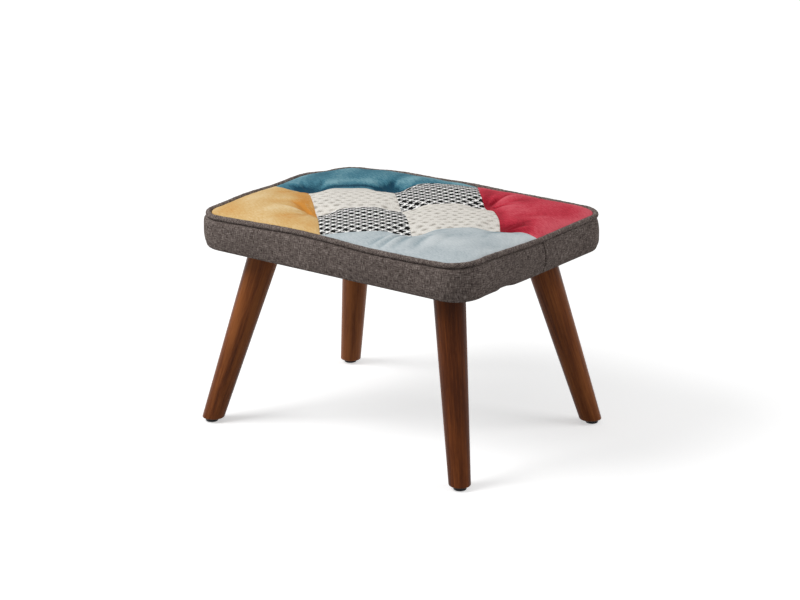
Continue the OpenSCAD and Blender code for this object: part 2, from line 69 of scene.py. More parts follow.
towards_camera = Vector((
    math.sin(CAMERA_TURN) * math.cos(CAMERA_HEIGHT),
    -math.cos(CAMERA_TURN) * math.cos(CAMERA_HEIGHT),
    math.sin(CAMERA_HEIGHT),
))
camera = bpy.data.objects.new("camera", bpy.data.cameras.new("camera"))
bpy.context.scene.collection.objects.link(camera)
bpy.context.scene.camera = camera
camera.data.lens = CAMERA_LENS
camera.data.clip_end = 100.0
camera.location = CAMERA_AIM + CAMERA_DISTANCE * towards_camera
camera.rotation_euler = (-towards_camera).to_track_quat("-Z", "Y").to_euler()
print("camera at", [round(c, 3) for c in camera.location])

# %% [markdown]
# ## Making a mesh from rings
# Most pieces here are lofts: a row of rings with the same number of points, joined ring by ring.
# Blender's own primitives and curves could give rough versions, but rings worked out as numpy
# arrays give every point exactly, with no loop over vertices.

# %% A loft through rings
SMOOTH_UP_TO = math.radians(38)
SAME_PLACE, NO_LENGTH = 1e-7, 1e-8


def finished(name, mesh, finish, smooth=SMOOTH_UP_TO):
    """A new object for the mesh: one finish, outward faces, soft shading up to an angle."""
    work = bmesh.new()
    work.from_mesh(mesh)
    bmesh.ops.remove_doubles(work, verts=work.verts, dist=SAME_PLACE)
    bmesh.ops.dissolve_degenerate(work, edges=work.edges, dist=NO_LENGTH)
    bmesh.ops.recalc_face_normals(work, faces=work.faces)
    work.to_mesh(mesh)
    work.free()
    mesh.polygons.foreach_set("use_smooth", np.ones(len(mesh.polygons), bool))
    mesh.set_sharp_from_angle(angle=smooth)
    mesh.materials.append(finish)
    piece = bpy.data.objects.new(name, mesh)
    bpy.context.scene.collection.objects.link(piece)
    return piece


def give_cloth_map(mesh, corners):
    """Writes the map named cloth: an (along, across) pair in metres for each face corner."""
    mesh.uv_layers.new(name="cloth").data.foreach_set("uv", corners.astype(np.float32).ravel())


def loft(name, rings, finish, along=None, across=None, ring_of_rings=False, smooth=SMOOTH_UP_TO):
    """Joins rings, an array of (ring, point, xyz), into a closed surface. A quad joins two points
    of a ring to the same two of the next. The ends are closed by one flat face each, unless the
    rings run in a ring themselves. along (rings + 1 values) and across (points + 1 values) are
    lengths for the cloth map."""
    count, points = rings.shape[:2]
    spans = count if ring_of_rings else count - 1
    r, p = np.meshgrid(np.arange(spans), np.arange(points), indexing="ij")
    r2, p2 = (r + 1) % count, (p + 1) % points
    quads = np.stack([r * points + p, r * points + p2, r2 * points + p2, r2 * points + p], -1)
    faces = quads.reshape(-1, 4).tolist()
    if not ring_of_rings:
        faces += [list(range(points)), list(range((count - 1) * points, count * points))]
    mesh = bpy.data.meshes.new(name)
    mesh.from_pydata(rings.reshape(-1, 3).tolist(), [], faces)
    if along is not None:
        a, b = along[r], along[r + 1]
        c, d = across[p], across[p + 1]
        corners = np.stack([a, c, a, d, b, d, b, c], -1).reshape(-1, 2)
        give_cloth_map(mesh, np.vstack([corners, np.zeros((len(mesh.loops) - len(corners), 2))]))
    return finished(name, mesh, finish, smooth)


def joined(name, pieces):
    """One object from several, which all hold the same finish."""
    work = bmesh.new()
    for piece in pieces:
        work.from_mesh(piece.data)
    mesh = bpy.data.meshes.new(name)
    work.to_mesh(mesh)
    work.free()
    mesh.materials.append(pieces[0].data.materials[0])
    for piece in pieces:
        bpy.data.objects.remove(piece)
    whole = bpy.data.objects.new(name, mesh)
    bpy.context.scene.collection.objects.link(whole)
    return whole


print("loft ready")

# %% [markdown]
# ## Building a finish
# Each finish is a procedural material around Blender's standard surface shader. A small helper
# adds one node at a time and returns its output, so that a finish reads like a recipe: what the
# cloth measures, how its tone varies, how high its threads stand.

# %% A helper for finishes
class Finish:
    """A material in the making. Values that never vary go on the shader's own inputs."""

    def __init__(self, name, **values):
        self.material = bpy.data.materials.new(name)
        self.material.use_nodes = True
        self.tree = self.material.node_tree
        self.shader = self.tree.nodes["Principled BSDF"]
        for socket, value in values.items():
            self.shader.inputs[socket.replace("_", " ")].default_value = value

    def add(self, kind, inputs, output=0, **fields):
        """One node of a kind; its inputs, by name or number, are filled or linked."""
        node = self.tree.nodes.new("ShaderNode" + kind)
        for field, value in fields.items():
            setattr(node, field, value)
        for place, value in inputs.items():
            if isinstance(value, bpy.types.NodeSocket):
                self.tree.links.new(value, node.inputs[place])
            else:
                node.inputs[place].default_value = value
        return node.outputs[output]

    def maths(self, operation, *values):
        return self.add("Math", dict(enumerate(values)), operation=operation)

    def cloth(self):
        """The cloth map, in metres along and across the threads."""
        return self.add("UVMap", {}, uv_map="cloth")

    def place(self):
        """The point's own place on the object, in metres."""
        return self.add("TexCoord", {}, output="Object")

    def scaled(self, vector, x, y, z=1.0, turn=0.0):
        """The vector turned about Z and then stretched along each axis."""
        if turn:
            vector = self.add("Mapping", {"Vector": vector, "Rotation": (0, 0, turn)})
        return self.add("Mapping", {"Vector": vector, "Scale": (x, y, z)})

    def noise(self, vector, size, detail=2.0, rough=0.5):
        """Soft noise from 0 to 1, whose lumps are about size metres."""
        return self.add("TexNoise", {"Vector": vector, "Scale": 1 / size, "Detail": detail,
                                     "Roughness": rough})

    def parts(self, vector):
        """The vector's first and second number."""
        node = self.add("SeparateXYZ", {"Vector": vector}).node
        return node.outputs[0], node.outputs[1]

    def ramp(self, value, *stops):
        """A colour that runs through (place, colour) stops as the value goes from 0 to 1."""
        node = self.add("ValToRGB", {"Fac": value}).node
        while len(node.color_ramp.elements) < len(stops):
            node.color_ramp.elements.new(0.5)
        for element, (place, colour) in zip(node.color_ramp.elements, stops):
            element.position = place
            element.color = (*colour, 1)
        return node.outputs[0]

    def between(self, share, first, second):
        """The first colour at share 0 and the second at 1."""
        def four(c):
            return (*c, 1) if isinstance(c, tuple) else c
        return self.add("Mix", {0: share, 6: four(first), 7: four(second)}, output=2,
                        data_type="RGBA")

    def total(self, *terms):
        """The sum of (value, weight) terms."""
        whole = self.maths("MULTIPLY", *terms[0])
        for value, weight in terms[1:]:
            whole = self.maths("MULTIPLY_ADD", value, weight, whole)
        return whole

    def done(self, colour, height=None, depth=0.0, rough=None):
        """Joins the colour, a height of so many metres as a bump, and roughness to the shader."""
        self.tree.links.new(colour, self.shader.inputs["Base Color"])
        if rough is not None:
            self.tree.links.new(rough, self.shader.inputs["Roughness"])
        if height is not None:
            bump = self.add("Bump", {"Height": height, "Distance": depth, "Strength": 1.0})
            self.tree.links.new(bump, self.shader.inputs["Normal"])
        return self.material


print("finish helper ready")

# %% [markdown]
# ## Brushed plain cloths
# The yellow, teal, red and pale blue patches are a brushed cotton-like plain weave. From a step
# away the nap shows as soft clouds of tone and short streaks, and a sheen makes grazing slopes
# paler. An attribute carries painted light and shade to the finish: the cloth is painted deeper in
# tone round the tufts, where they also press its nap, beside the seams and in fold valleys, and
# paler on fold crests and near the rim, as painted shade and painted highlight. An image texture
# could show all this, but noise in metres keeps the true scale on every patch.

# %% Brushed cloth
NAP_AND_SHADE = "nap_and_shade"
THREAD = 0.9 * MM


def plain_weave(f, uv, pitch):
    """Height of a plain weave: the product of one sine across each set of threads."""
    u, v = f.parts(f.scaled(uv, math.pi / pitch, math.pi / pitch))
    return f.maths("MULTIPLY", f.maths("SINE", u), f.maths("SINE", v))


def brushed_cloth(name, pale, full, deep):
    """Clouds, streaks and fibres of noise, less the pressed nap and its painted shade and
    highlight, pick a tone from deep to pale.
    """
    f = Finish(name, Roughness=0.95, Specular_IOR_Level=0.10, Sheen_Weight=0.05,
               Sheen_Roughness=0.4)
    uv = f.cloth()
    clouds = f.noise(uv, 30 * MM, 3.0)
    streaks = f.noise(f.scaled(uv, 1.0, 3.6, turn=0.35), 9 * MM, 3.0)
    fibres = f.noise(f.scaled(uv, 2.2, 1.0), 3.4 * MM, 3.0)
    # Painted shade where this attribute is high and painted highlight where it is low: it lowers
    # the tone.
    pressed_and_shaded = f.add("Attribute", {}, output="Fac", attribute_name=NAP_AND_SHADE)
    tone = f.total((clouds, 0.34), (streaks, 0.60), (fibres, 0.42), (pressed_and_shaded, -0.36))
    colour = f.ramp(tone, (0.25, deep), (0.63, full), (0.97, pale))
    height = f.total((plain_weave(f, uv, THREAD), 0.35), (fibres, 0.8), (streaks, 0.4))
    return f.done(colour, height, 0.45 * MM)


yellow_cloth = brushed_cloth(
    "yellow_cloth", (0.83, 0.64, 0.36), (0.72, 0.465, 0.185), (0.64, 0.27, 0.045))
teal_cloth = brushed_cloth(
    "teal_cloth", (0.21, 0.41, 0.475), (0.062, 0.205, 0.275), (0.008, 0.055, 0.095))
red_cloth = brushed_cloth(
    "red_cloth", (0.72, 0.11, 0.145), (0.575, 0.034, 0.062), (0.27, 0.006, 0.018))
blue_cloth = brushed_cloth(
    "pale_blue_cloth", (0.66, 0.71, 0.725), (0.505, 0.565, 0.59), (0.26, 0.35, 0.39))
print("brushed cloths ready")

# %% [markdown]
# ## Houndstooth
# Houndstooth is a twill of four dark and four light threads each way. A thread of one set is on
# top where the difference of the two thread numbers, counted in fours, is two or three. The colour
# on top is then that thread's own, and the dark threads are a little thicker. Counting threads in
# the material gives the true broken checks, which a checker texture can't. The cloth is drawn a
# little on the bias, so its two sets of threads have their own repeats and don't cross squarely.

# %% Houndstooth cloth
TOOTH_STEPS = np.array([(12.4, 0.2), (0.9, 14.6)]) * MM
THREADS, DARK_THREADS = 8.0, 4.9


def houndstooth(name, dark, light):
    """Counts the threads both ways in each repeat, and takes the colour of the one on top."""
    f = Finish(name, Roughness=0.95, Specular_IOR_Level=0.12)
    uv = f.cloth()
    fuzz = f.add("TexNoise", {"Vector": uv, "Scale": 1 / (1.1 * MM), "Detail": 2.0}, output=1)
    shift = f.add("VectorMath", {0: fuzz, 1: (-0.5, -0.5, -0.5)}, operation="ADD")
    woolly = f.add("VectorMath", {0: shift, 1: (0.35 * MM,) * 3, 2: uv}, operation="MULTIPLY_ADD")
    u, v = (f.add("VectorMath", {0: woolly, 1: (*(THREADS * part), 0)}, output=1,
                  operation="DOT_PRODUCT")
            for part in np.linalg.inv(TOOTH_STEPS).T)
    i, j = f.maths("FLOOR", u), f.maths("FLOOR", v)
    on_top = f.maths("GREATER_THAN", f.maths("FLOORED_MODULO", f.maths("SUBTRACT", i, j), 4.0), 1.5)
    warp_dark = f.maths("LESS_THAN", f.maths("FLOORED_MODULO", u, THREADS), DARK_THREADS)
    weft_dark = f.maths("LESS_THAN", f.maths("FLOORED_MODULO", v, THREADS), DARK_THREADS)
    warp_share = f.maths("MULTIPLY", on_top, warp_dark)
    weft_share = f.maths("MULTIPLY", f.maths("SUBTRACT", 1.0, on_top), weft_dark)
    is_dark = f.maths("ADD", warp_share, weft_share)
    hairs = f.noise(uv, 1.3 * MM, 3.0)
    light_now = f.ramp(hairs, (0.25, tuple(0.92 * c for c in light)), (0.5, light))
    dark_now = f.ramp(hairs, (0.4, dark), (0.8, tuple(2.0 * c for c in dark)))
    warp_round = f.maths("ABSOLUTE", f.maths("SINE", f.maths("MULTIPLY", u, math.pi)))
    weft_round = f.maths("ABSOLUTE", f.maths("SINE", f.maths("MULTIPLY", v, math.pi)))
    height = f.total((f.maths("MULTIPLY", on_top, warp_round), 1.0),
                     (f.maths("MULTIPLY", f.maths("SUBTRACT", 1.0, on_top), weft_round), 1.0),
                     (hairs, 0.5))
    return f.done(f.between(is_dark, light_now, dark_now), height, 0.2 * MM)


houndstooth_cloth = houndstooth("houndstooth_cloth", (0.004, 0.004, 0.004), (0.97, 0.965, 0.945))
print("houndstooth repeats", TOOTH_STEPS.tolist(), "m")

# %% [markdown]
# ## Cream nubby cloth
# The two cream patches are a thick, soft weave with a dip at every crossing of a slanting lattice.
# The dips are placed by arithmetic: a point's place is told in lattice steps, and its distance
# from the nearest whole number of steps gives the dip, longer along the slant than across it. The
# lattice is bent by slow waves, as hand-laid cloth is. It lowers the mesh, and an attribute named
# pits carries it to the finish, which paints every dip darker as painted shade, so that relief and
# shade agree.

# %% Cream cloth
PITS = "pits"
PIT_STEPS = np.array([(14.7, -3.7), (0.2, 15.6)]) * MM
PIT_LONG, PIT_SHORT = 5.2 * MM, 3.1 * MM


def pits_at(x, y):
    """From 0 between the dips to 1 in the middle of a dip: a bell stretched along the slant."""
    steps = np.stack([x, y], -1) @ np.linalg.inv(PIT_STEPS)
    dx, dy = np.moveaxis((steps - np.round(steps)) @ PIT_STEPS, -1, 0)
    slant, across = (dx + dy) / math.sqrt(2), (dx - dy) / math.sqrt(2)
    return np.exp(-(slant / PIT_LONG) ** 2 - (across / PIT_SHORT) ** 2)


def cream(name, pale, shaded, pit):
    """The dips take height away and are painted darker, as painted shade; two crossing noises and
    fine hairs add to tone and height.
    """
    f = Finish(name, Roughness=0.95, Specular_IOR_Level=0.12)
    uv = f.cloth()
    pits = f.add("Attribute", {}, output="Fac", attribute_name=PITS)
    yarn = f.noise(f.scaled(uv, 1.0, 2.2, turn=0.75), 4.4 * MM, 3.0)
    cross_yarn = f.noise(f.scaled(uv, 2.4, 1.0, turn=0.75), 3.0 * MM, 2.0)
    hairs = f.noise(uv, 1.2 * MM, 3.0)
    # Painted shade: the tone falls in each dip, towards the pit colour, as shade in a hollow.
    tone = f.total((pits, -0.58), (yarn, 0.85), (cross_yarn, 0.5), (hairs, 0.15))
    colour = f.ramp(tone, (0.20, pit), (0.55, shaded), (0.80, pale))
    height = f.total((pits, -0.7), (yarn, 1.5), (cross_yarn, 0.9), (hairs, 0.5))
    return f.done(colour, height, 0.7 * MM)


cream_cloth = cream("cream_cloth", (0.83, 0.80, 0.745), (0.69, 0.655, 0.60), (0.40, 0.37, 0.325))
print("cream pits at steps of", PIT_STEPS.tolist(), "m")

# %% [markdown]
# ## Grey band cloth
# The band and the piping are a brown-grey cloth whose threads are spun from dark and light
# fibres, so no two stretches of thread match. Two noises, one stretched along each set of
# threads, give slubs that cross, and a fine one gives the flecks.

# %% Grey heathered cloth
def heathered(name, turn=0.0, paler=1.0):
    """Two noises, each drawn out along its own threads, plus flecks and slow clouds."""
    f = Finish(name, Roughness=0.95, Specular_IOR_Level=0.12)
    uv = f.cloth()
    if turn:
        uv = f.scaled(uv, 1.0, 1.0, turn=turn)
    warp = f.noise(f.scaled(uv, 2.3, 0.28), 2.8 * MM, 2.0, 0.6)
    weft = f.noise(f.scaled(uv, 0.28, 2.3), 2.8 * MM, 2.0, 0.6)
    flecks = f.noise(uv, 1.8 * MM, 2.0, 0.6)
    clouds = f.noise(uv, 60 * MM, 2.0)
    tone = f.total((warp, 0.44), (weft, 0.42), (flecks, 0.20), (clouds, -0.06))
    stops = ((0.38, (0.030, 0.023, 0.020)), (0.46, (0.130, 0.102, 0.090)),
             (0.54, (0.225, 0.182, 0.163)), (0.65, (0.50, 0.43, 0.395)))
    colour = f.ramp(tone, *((place, tuple(paler * c for c in shade)) for place, shade in stops))
    height = f.total((plain_weave(f, uv, 1.1 * MM), 0.6), (warp, 1.0), (weft, 1.0), (flecks, 0.8))
    return f.done(colour, height, 0.6 * MM)


band_cloth = heathered("grey_band_cloth")
piping_cloth = heathered("grey_piping_cloth", turn=math.radians(45), paler=1.03)
print("heathered cloths ready")

# %% [markdown]
# ## The seat's outline
# Piping, band and patches all follow one rounded rectangle. A point on it is found from its
# distance along the outline, measured from the middle of the right side towards the back, and
# from how far it lies out from the line. Every quarter of the outline is a mirror image of the
# first.

# %% Outline of the seat
HALF = np.array([268.0, 198.0]) * MM
CORNER_R = 44 * MM
STRAIGHT = HALF - CORNER_R
ARC = CORNER_R * math.pi / 2
QUARTER = STRAIGHT[1] + ARC + STRAIGHT[0]
LOOP = 4 * QUARTER


def quarter_point(s, out):
    """Half of the short side, a quarter circle, then half of the long side."""
    turn = np.clip((s - STRAIGHT[1]) / CORNER_R, 0, math.pi / 2)
    past = np.maximum(s - STRAIGHT[1] - ARC, 0)
    x = STRAIGHT[0] + (CORNER_R + out) * np.cos(turn) - past
    y = np.minimum(s, STRAIGHT[1]) + (CORNER_R + out) * np.sin(turn)
    return x, y


def outline(s, out):
    """Turns 0 to 3 of the loop take signs ++, -+, --, +-, and the odd ones run backwards."""
    s = np.mod(s, LOOP)
    turn = np.minimum(np.floor(s / QUARTER), 3)
    k = s - turn * QUARTER
    x, y = quarter_point(np.where(turn % 2 == 1, QUARTER - k, k), out)
    return np.where((turn == 1) | (turn == 2), -x, x), np.where(turn >= 2, -y, y)


print("outline is", round(LOOP, 4), "m round")

# %% [markdown]
# ## The cushion's height
# The top of the cushion is one height over the plan. It is the piping's height with its slow
# waves, plus a crown that rounds over a shoulder inside the piping, less a soft dent at each of
# the seven tufts, as in the construction model. A real cushion has settled besides: its crown is a
# little lower, its rim sags at three corners, most at the back left, and stands up at the fourth,
# some tufts are drawn deeper than others, and along the back the cloth lies low beside the
# piping. The rim's heights are a necklace of bells at even steps round the outline. They and the
# first ten settled places are the result of a least-squares fit, made outside this lesson, to
# heights measured along the rim in the photograph and to an earlier cushion shaped by hand. The
# last five places, along the back, were set one by one.

# %% Cushion height
PIPING_Z = 365 * MM
PIPING_R = 4.5 * MM
CORE_IN = 4.8 * MM
FLOOR_OF_PATCHES = 356 * MM
QUILTING = 4.5 * MM
RIM_HEIGHTS = [-2.3, -0.9, -0.3, -0.5, -0.2, -1.1, 0.1, -2.6, -2.4, -8.0, -8.7, 1.0,
               -2.6, -0.5, -4.1, -3.3, -1.6, 1.0, 0.3, -2.9, -2.3, -1.6, 3.4, 0.1]
RIM_BELL = 56 * MM
SETTLING = [
    ((-196, 0), 0.5, 40), ((-96, 101), -6.5, 40), ((196, 0), 2.5, 40), ((0, 0), 2.0, 40),
    ((96, -101), 0.6, 40), ((-96, -101), 0.5, 40), ((-150, 58), -4.9, 45), ((-215, 148), 1.3, 42),
    ((180, 100), -1.0, 45), ((-180, -100), 0.8, 45), ((-150, 205), -1.4, 30),
    ((-100, 205), -2.2, 30), ((-50, 205), -2.2, 30), ((0, 205), -2.0, 30), ((50, 205), -1.2, 30),
]
CROWN, SHOULDER, EDGE_LIFT = 5 * MM, 60 * MM, 1.3 * MM
TUFT_DEPTH, TUFT_SPREAD = 9 * MM, 32 * MM
TUFT_END_X = 0.73 * HALF[0]
TUFT_MID = np.array([0.36 * HALF[0], 0.51 * HALF[1]])
TUFTS = np.array([(0, 0), (-TUFT_END_X, 0), (TUFT_END_X, 0)]
                 + [(sx * TUFT_MID[0], sy * TUFT_MID[1]) for sx in (-1, 1) for sy in (-1, 1)])


def inset(x, y):
    """How far a point lies inside the edge of the patchwork."""
    dx, dy = np.abs(x) - STRAIGHT[0], np.abs(y) - STRAIGHT[1]
    reach = np.hypot(np.maximum(dx, 0), np.maximum(dy, 0)) + np.minimum(np.maximum(dx, dy), 0)
    return CORNER_R - CORE_IN - reach


def wave(x, y):
    """How far the rim stands above its own height: the sum of the bells round it."""
    places = np.stack(outline(np.arange(len(RIM_HEIGHTS)) * LOOP / len(RIM_HEIGHTS), 0.0), -1)
    return sum(height * MM * np.exp(-((x - px) ** 2 + (y - py) ** 2) / RIM_BELL ** 2)
               for (px, py), height in zip(places, RIM_HEIGHTS))


def tuft_pull(x, y, spread):
    """One bell at each tuft, flat in the middle: it takes the distance to the third power."""
    return sum(np.exp(-(np.hypot(x - tx, y - ty) / spread) ** 3) for tx, ty in TUFTS)


def settling(x, y):
    """A bell for every place where the filling has sunk or kept its height."""
    return sum(
        h * MM * np.exp(-((x / MM - px) ** 2 + (y / MM - py) ** 2) / spread ** 2)
        for (px, py), h, spread in SETTLING
    )


def cushion_height(x, y):
    """The piping's height and its wave, plus the crown, a parabola that rises over the shoulder,
    plus the settling, less a bell at each tuft."""
    shoulder = 1 - np.clip(inset(x, y) / SHOULDER, 0, 1)
    crown = CROWN * (1 - shoulder ** 2)
    return (PIPING_Z + EDGE_LIFT + wave(x, y) + crown + settling(x, y)
            - TUFT_DEPTH * tuft_pull(x, y, TUFT_SPREAD))


def wadding_top(x, y):
    """The lower side of the quilting: level, but lower where the cushion itself is low."""
    return np.minimum(FLOOR_OF_PATCHES, cushion_height(x, y) - QUILTING)


print("cushion is", round(float(cushion_height(np.array(0.0), np.array(0.05))), 4), "m high inside")

# %% [markdown]
# ## Creases in the cloth
# Where a tuft pulls the cloth down, small folds fan out from it, and the seams gather the cloth
# into fine puckers. A cloth simulation makes such folds where it likes; the photograph shows where
# they lie, so they are listed here. Each long fold is a bell across a line, and the fan round a
# tuft is a sum of cosines of the angle that fades in and out with distance. Beside the seams, in
# the dents and in the fold valleys the cloth is painted deeper in tone, as painted shade and,
# round the tufts, pressed nap; on fold crests and near the rim it is painted paler, as painted
# highlight. Lines of the same kind give that to the finish.

# %% Folds, fans and slow lumps
def fold(x, y, line, height, width):
    """A bell across the line from a to b, which fades out towards both of its ends."""
    (ax, ay), (bx, by) = line[0], line[1]
    dx, dy = bx - ax, by - ay
    length = math.hypot(dx, dy)
    t = ((x - ax) * dx + (y - ay) * dy) / length ** 2
    off = ((x - ax) * dy - (y - ay) * dx) / length
    bow = line[2] * 4 * t * (1 - t) if len(line) > 2 else 0.0
    fade = np.clip(np.sin(np.pi * np.clip(t, 0, 1)), 0, 1) ** 0.6
    return height * np.exp(-((off - bow) / width) ** 2) * fade


def fan(x, y, centre, seed, height, folds=9, reach=26 * MM):
    """Folds round a tuft: cosines of the angle with set phases, times distance, times a bell."""
    dx, dy = x - centre[0], y - centre[1]
    r, angle = np.hypot(dx, dy), np.arctan2(dy, dx)
    phase = np.random.default_rng(seed).uniform(0, 2 * np.pi, 3)
    ripples = (np.cos(folds * angle + phase[0]) + 0.7 * np.cos((folds - 4) * angle + phase[1])
               + 0.5 * np.cos((folds + 5) * angle + phase[2]))
    return height * ripples * (r / reach) ** 2 * np.exp(1 - (r / reach) ** 2)


def lumps(x, y, size, seed):
    """A smooth uneven field from -1 to 1: the mean of eight sines in set directions."""
    draw = np.random.default_rng(seed)
    turns, phases = draw.uniform(0, np.pi, 8), draw.uniform(0, 2 * np.pi, 8)
    lengths = size * draw.uniform(0.7, 1.5, 8)
    return sum(
        np.sin(2 * np.pi * (x * math.cos(t) + y * math.sin(t)) / n + p)
        for t, p, n in zip(turns, phases, lengths)
    ) / 4


print("fold helpers ready")

# %% [markdown]
# ## The patches
# Eight patches are sewn edge to edge over the wadding. Their seams meet at the tufts and at four
# points of the rim, and most of them bow sideways. A patch's surface is blended between its four
# seams, and it swells from them as cloth does over fibre: steeply at the seam, then flat. The four
# in the middle are drawn flatter than the four at the corners. Points are spaced more closely at
# the seams, where the swelling turns.

# %% Seams
KNOTS = {
    "middle": (0, 0), "left": (-TUFT_END_X, 0), "right": (TUFT_END_X, 0),
    "front_left": TUFT_MID * (-1, -1), "front_right": TUFT_MID * (1, -1),
    "back_left": TUFT_MID * (-1, 1), "back_right": TUFT_MID * (1, 1),
    "rim_left": (CORE_IN - HALF[0], -3 * MM), "rim_right": (HALF[0] - CORE_IN, 6 * MM),
    "rim_front": (-16 * MM, CORE_IN - HALF[1]), "rim_back": (14 * MM, HALF[1] - CORE_IN),
}
SEAM_BOWS = {
    ("rim_left", "left"): -14, ("left", "back_left"): 6, ("back_left", "rim_back"): 14.5,
    ("rim_back", "back_right"): -2.5, ("back_right", "right"): 6.5, ("right", "rim_right"): 6,
    ("left", "front_left"): -1.5, ("front_left", "rim_front"): 0, ("rim_front", "front_right"): 6,
    ("front_left", "middle"): 12, ("middle", "front_right"): 0.5, ("back_left", "middle"): -1.5,
    ("middle", "back_right"): 11, ("front_right", "right"): 9,
}


def seam(start, end, t):
    """A straight line from knot to knot plus a parabola of the seam's bow to its left."""
    if (start, end) not in SEAM_BOWS:
        return seam(end, start, 1 - t)
    a, b = np.asarray(KNOTS[start], float), np.asarray(KNOTS[end], float)
    d = (b - a) / np.linalg.norm(b - a)
    t = t[:, None]
    return a + (b - a) * t + np.array([-d[1], d[0]]) * SEAM_BOWS[start, end] * MM * 4 * t * (1 - t)


def close_at_ends(n):
    """n + 1 places from 0 to 1, closer at both ends: a cosine mixed with a straight line."""
    t = np.linspace(0, 1, n + 1)
    return 0.75 * (1 - np.cos(np.pi * t)) / 2 + 0.25 * t


def middle_plan(west, north, east, south, n):
    """A patch between four seams: both blends of opposite seams, less the blend of the corners."""
    u, v = close_at_ends(n), close_at_ends(n)
    wn, se, ws, ne = (seam(west, north, u), seam(south, east, u), seam(west, south, v),
                      seam(north, east, v))
    w, n_, e, s_ = (np.asarray(KNOTS[k], float) for k in (west, north, east, south))
    uu, vv = u[:, None, None], v[None, :, None]
    plan = ((1 - vv) * wn[:, None] + vv * se[:, None] + (1 - uu) * ws[None] + uu * ne[None]
            - (1 - uu) * (1 - vv) * w - uu * (1 - vv) * n_ - (1 - uu) * vv * s_ - uu * vv * e)
    return plan, u[:, None] + 0 * v, v[None, :] + 0 * u[:, None]


# Shares of a corner patch's steps: where the inner seams meet the tufts, and where the outer edge
# passes from the short side into the corner and on into the long side.
INNER_SPLIT = (3 / 21, 12 / 21)
OUTER_SPLIT = (6 / 21, 12 / 21)


def corner_plan(knots, n, m):
    """A patch ruled between its inner seams, through four knots, and the outline beside them."""
    u, v = close_at_ends(n), close_at_ends(m)
    sx, sy = np.sign(KNOTS[knots[2]])
    cuts = (0.0, *INNER_SPLIT, 1.0)
    inner = np.zeros((n + 1, 2))
    for k in range(3):
        here = (u >= cuts[k]) & (u <= cuts[k + 1])
        inner[here] = seam(knots[k], knots[k + 1], (u[here] - cuts[k]) / (cuts[k + 1] - cuts[k]))
    start, end = sy * KNOTS[knots[0]][1], QUARTER - sx * KNOTS[knots[3]][0]
    lengths = np.array([start, STRAIGHT[1], STRAIGHT[1] + ARC, end])
    x, y = quarter_point(np.interp(u, (0.0, *OUTER_SPLIT, 1.0), lengths), -CORE_IN)
    outer = np.stack([sx * x, sy * y], -1)
    plan = (1 - v[None, :, None]) * inner[:, None] + v[None, :, None] * outer[:, None]
    return plan, u[:, None] + 0 * v, v[None, :] + 0 * u[:, None]


print(len(SEAM_BOWS), "seams between", len(KNOTS), "knots")

# %% Folds, and lines of painted shade and highlight, that the photograph shows, patch by patch, in millimetres
FOLDS = {
    "patch_teal": [
        (((-196, 0), (-204, 50), 6), -3.0, 5), (((-189, 8), (-180, 62), 5), 2.4, 7),
        (((-110, 112), (-120, 170)), -1.4, 7), (((-85, 110), (-90, 180)), 1.6, 8),
        (((-104, 118), (-98, 165)), 1.4, 6), (((-215, -2), (-240, 40)), 1.2, 8),
    ],
    "patch_yellow": [
        (((-100, -108), (-165, -88), 4), -2.2, 6), (((-100, -114), (-170, -128)), 1.6, 8),
        (((-190, -12), (-215, -60)), -1.2, 7), (((-96, -118), (-130, -175)), -1.2, 6),
        (((-150, -60), (-195, -100)), 1.0, 9),
    ],
    "patch_light_blue": [
        (((80, -118), (52, -188)), -0.8, 6), (((91, -117), (74, -192)), -1.8, 4.5),
        (((93, -117), (85, -192)), 1.6, 4.5), (((98, -115), (97, -192)), -2.3, 4.5),
        (((103, -113), (108, -192)), 1.7, 5), (((110, -110), (121, -190)), -1.7, 5),
        (((122, -104), (136, -186)), 1.3, 6), (((134, -98), (152, -178)), -1.5, 5),
        (((146, -90), (168, -176)), 1.1, 6), (((160, -80), (186, -168)), -1.2, 6),
        (((198, -8), (214, -75)), -1.5, 6), (((206, -6), (236, -60)), 1.2, 7),
    ],
    "patch_red": [
        (((98, 110), (103, 175)), -2.0, 5), (((106, 106), (116, 168)), 2.0, 6),
        (((116, 98), (146, 156)), -1.5, 6), (((122, 90), (170, 120)), 1.4, 8),
        (((198, 6), (222, 70)), -1.6, 8), (((206, 4), (246, 40)), 1.0, 8),
        (((180, 60), (232, 110)), -0.9, 9),
    ],
}
# Lines of painted shade (positive amounts) and painted highlight (negative amounts), carried to the
# finish with the nap.
SHADE_AND_HIGHLIGHT_LINES = {
    "patch_teal": [
        (((-236, -3), (-190, 8)), 1.0, 11), (((-190, 8), (-104, 102), -11), 1.3, 5),
        (((-196, 14), (-114, 112), -22), -0.45, 7), (((-122, 84), (-104, 128)), 1.1, 13),
        (((-98, 116), (-84, 166)), -0.6, 10), (((-262, 0), (-197, 5)), 0.5, 9),
    ],
    "patch_yellow": [
        (((-186, -30), (-106, -113)), 1.0, 18), (((-108, -118), (-170, -150)), -0.4, 12),
        (((-262, -120), (-200, -185)), 0.25, 22), (((-110, -150), (-90, -190)), 0.4, 16),
    ],
    "patch_light_blue": [(((150, -160), (236, -110)), -0.3, 26)],
    "patch_red": [
        (((186, 2), (240, 32)), 0.9, 18), (((48, 176), (98, 106)), 0.8, 12),
        (((126, 94), (188, 16)), 0.6, 10), (((128, 86), (200, 104)), -0.4, 18),
        (((98, 112), (114, 160)), -0.6, 5),
    ],
}
print(sum(len(f) for f in FOLDS.values()), "long folds placed")

# %% A patch
PUCKER_STEP, PUCKER_BEND, PUCKER_HEIGHT = 13 * MM, 70 * MM, 0.5 * MM
FAN_HEIGHT = 0.8 * MM
LUMP_SIZE, LUMP_HEIGHT = 75 * MM, 0.9 * MM
PIT_DEPTH, PIT_DRIFT, PIT_CHANGE = 0.9 * MM, 2.2 * MM, 16 * MM
DRIFT_ALONG, DRIFT_ACROSS = 30 * MM, 26 * MM
TUFT_SHADE_REACH, RIM_HIGHLIGHT_REACH = 26 * MM, 16 * MM


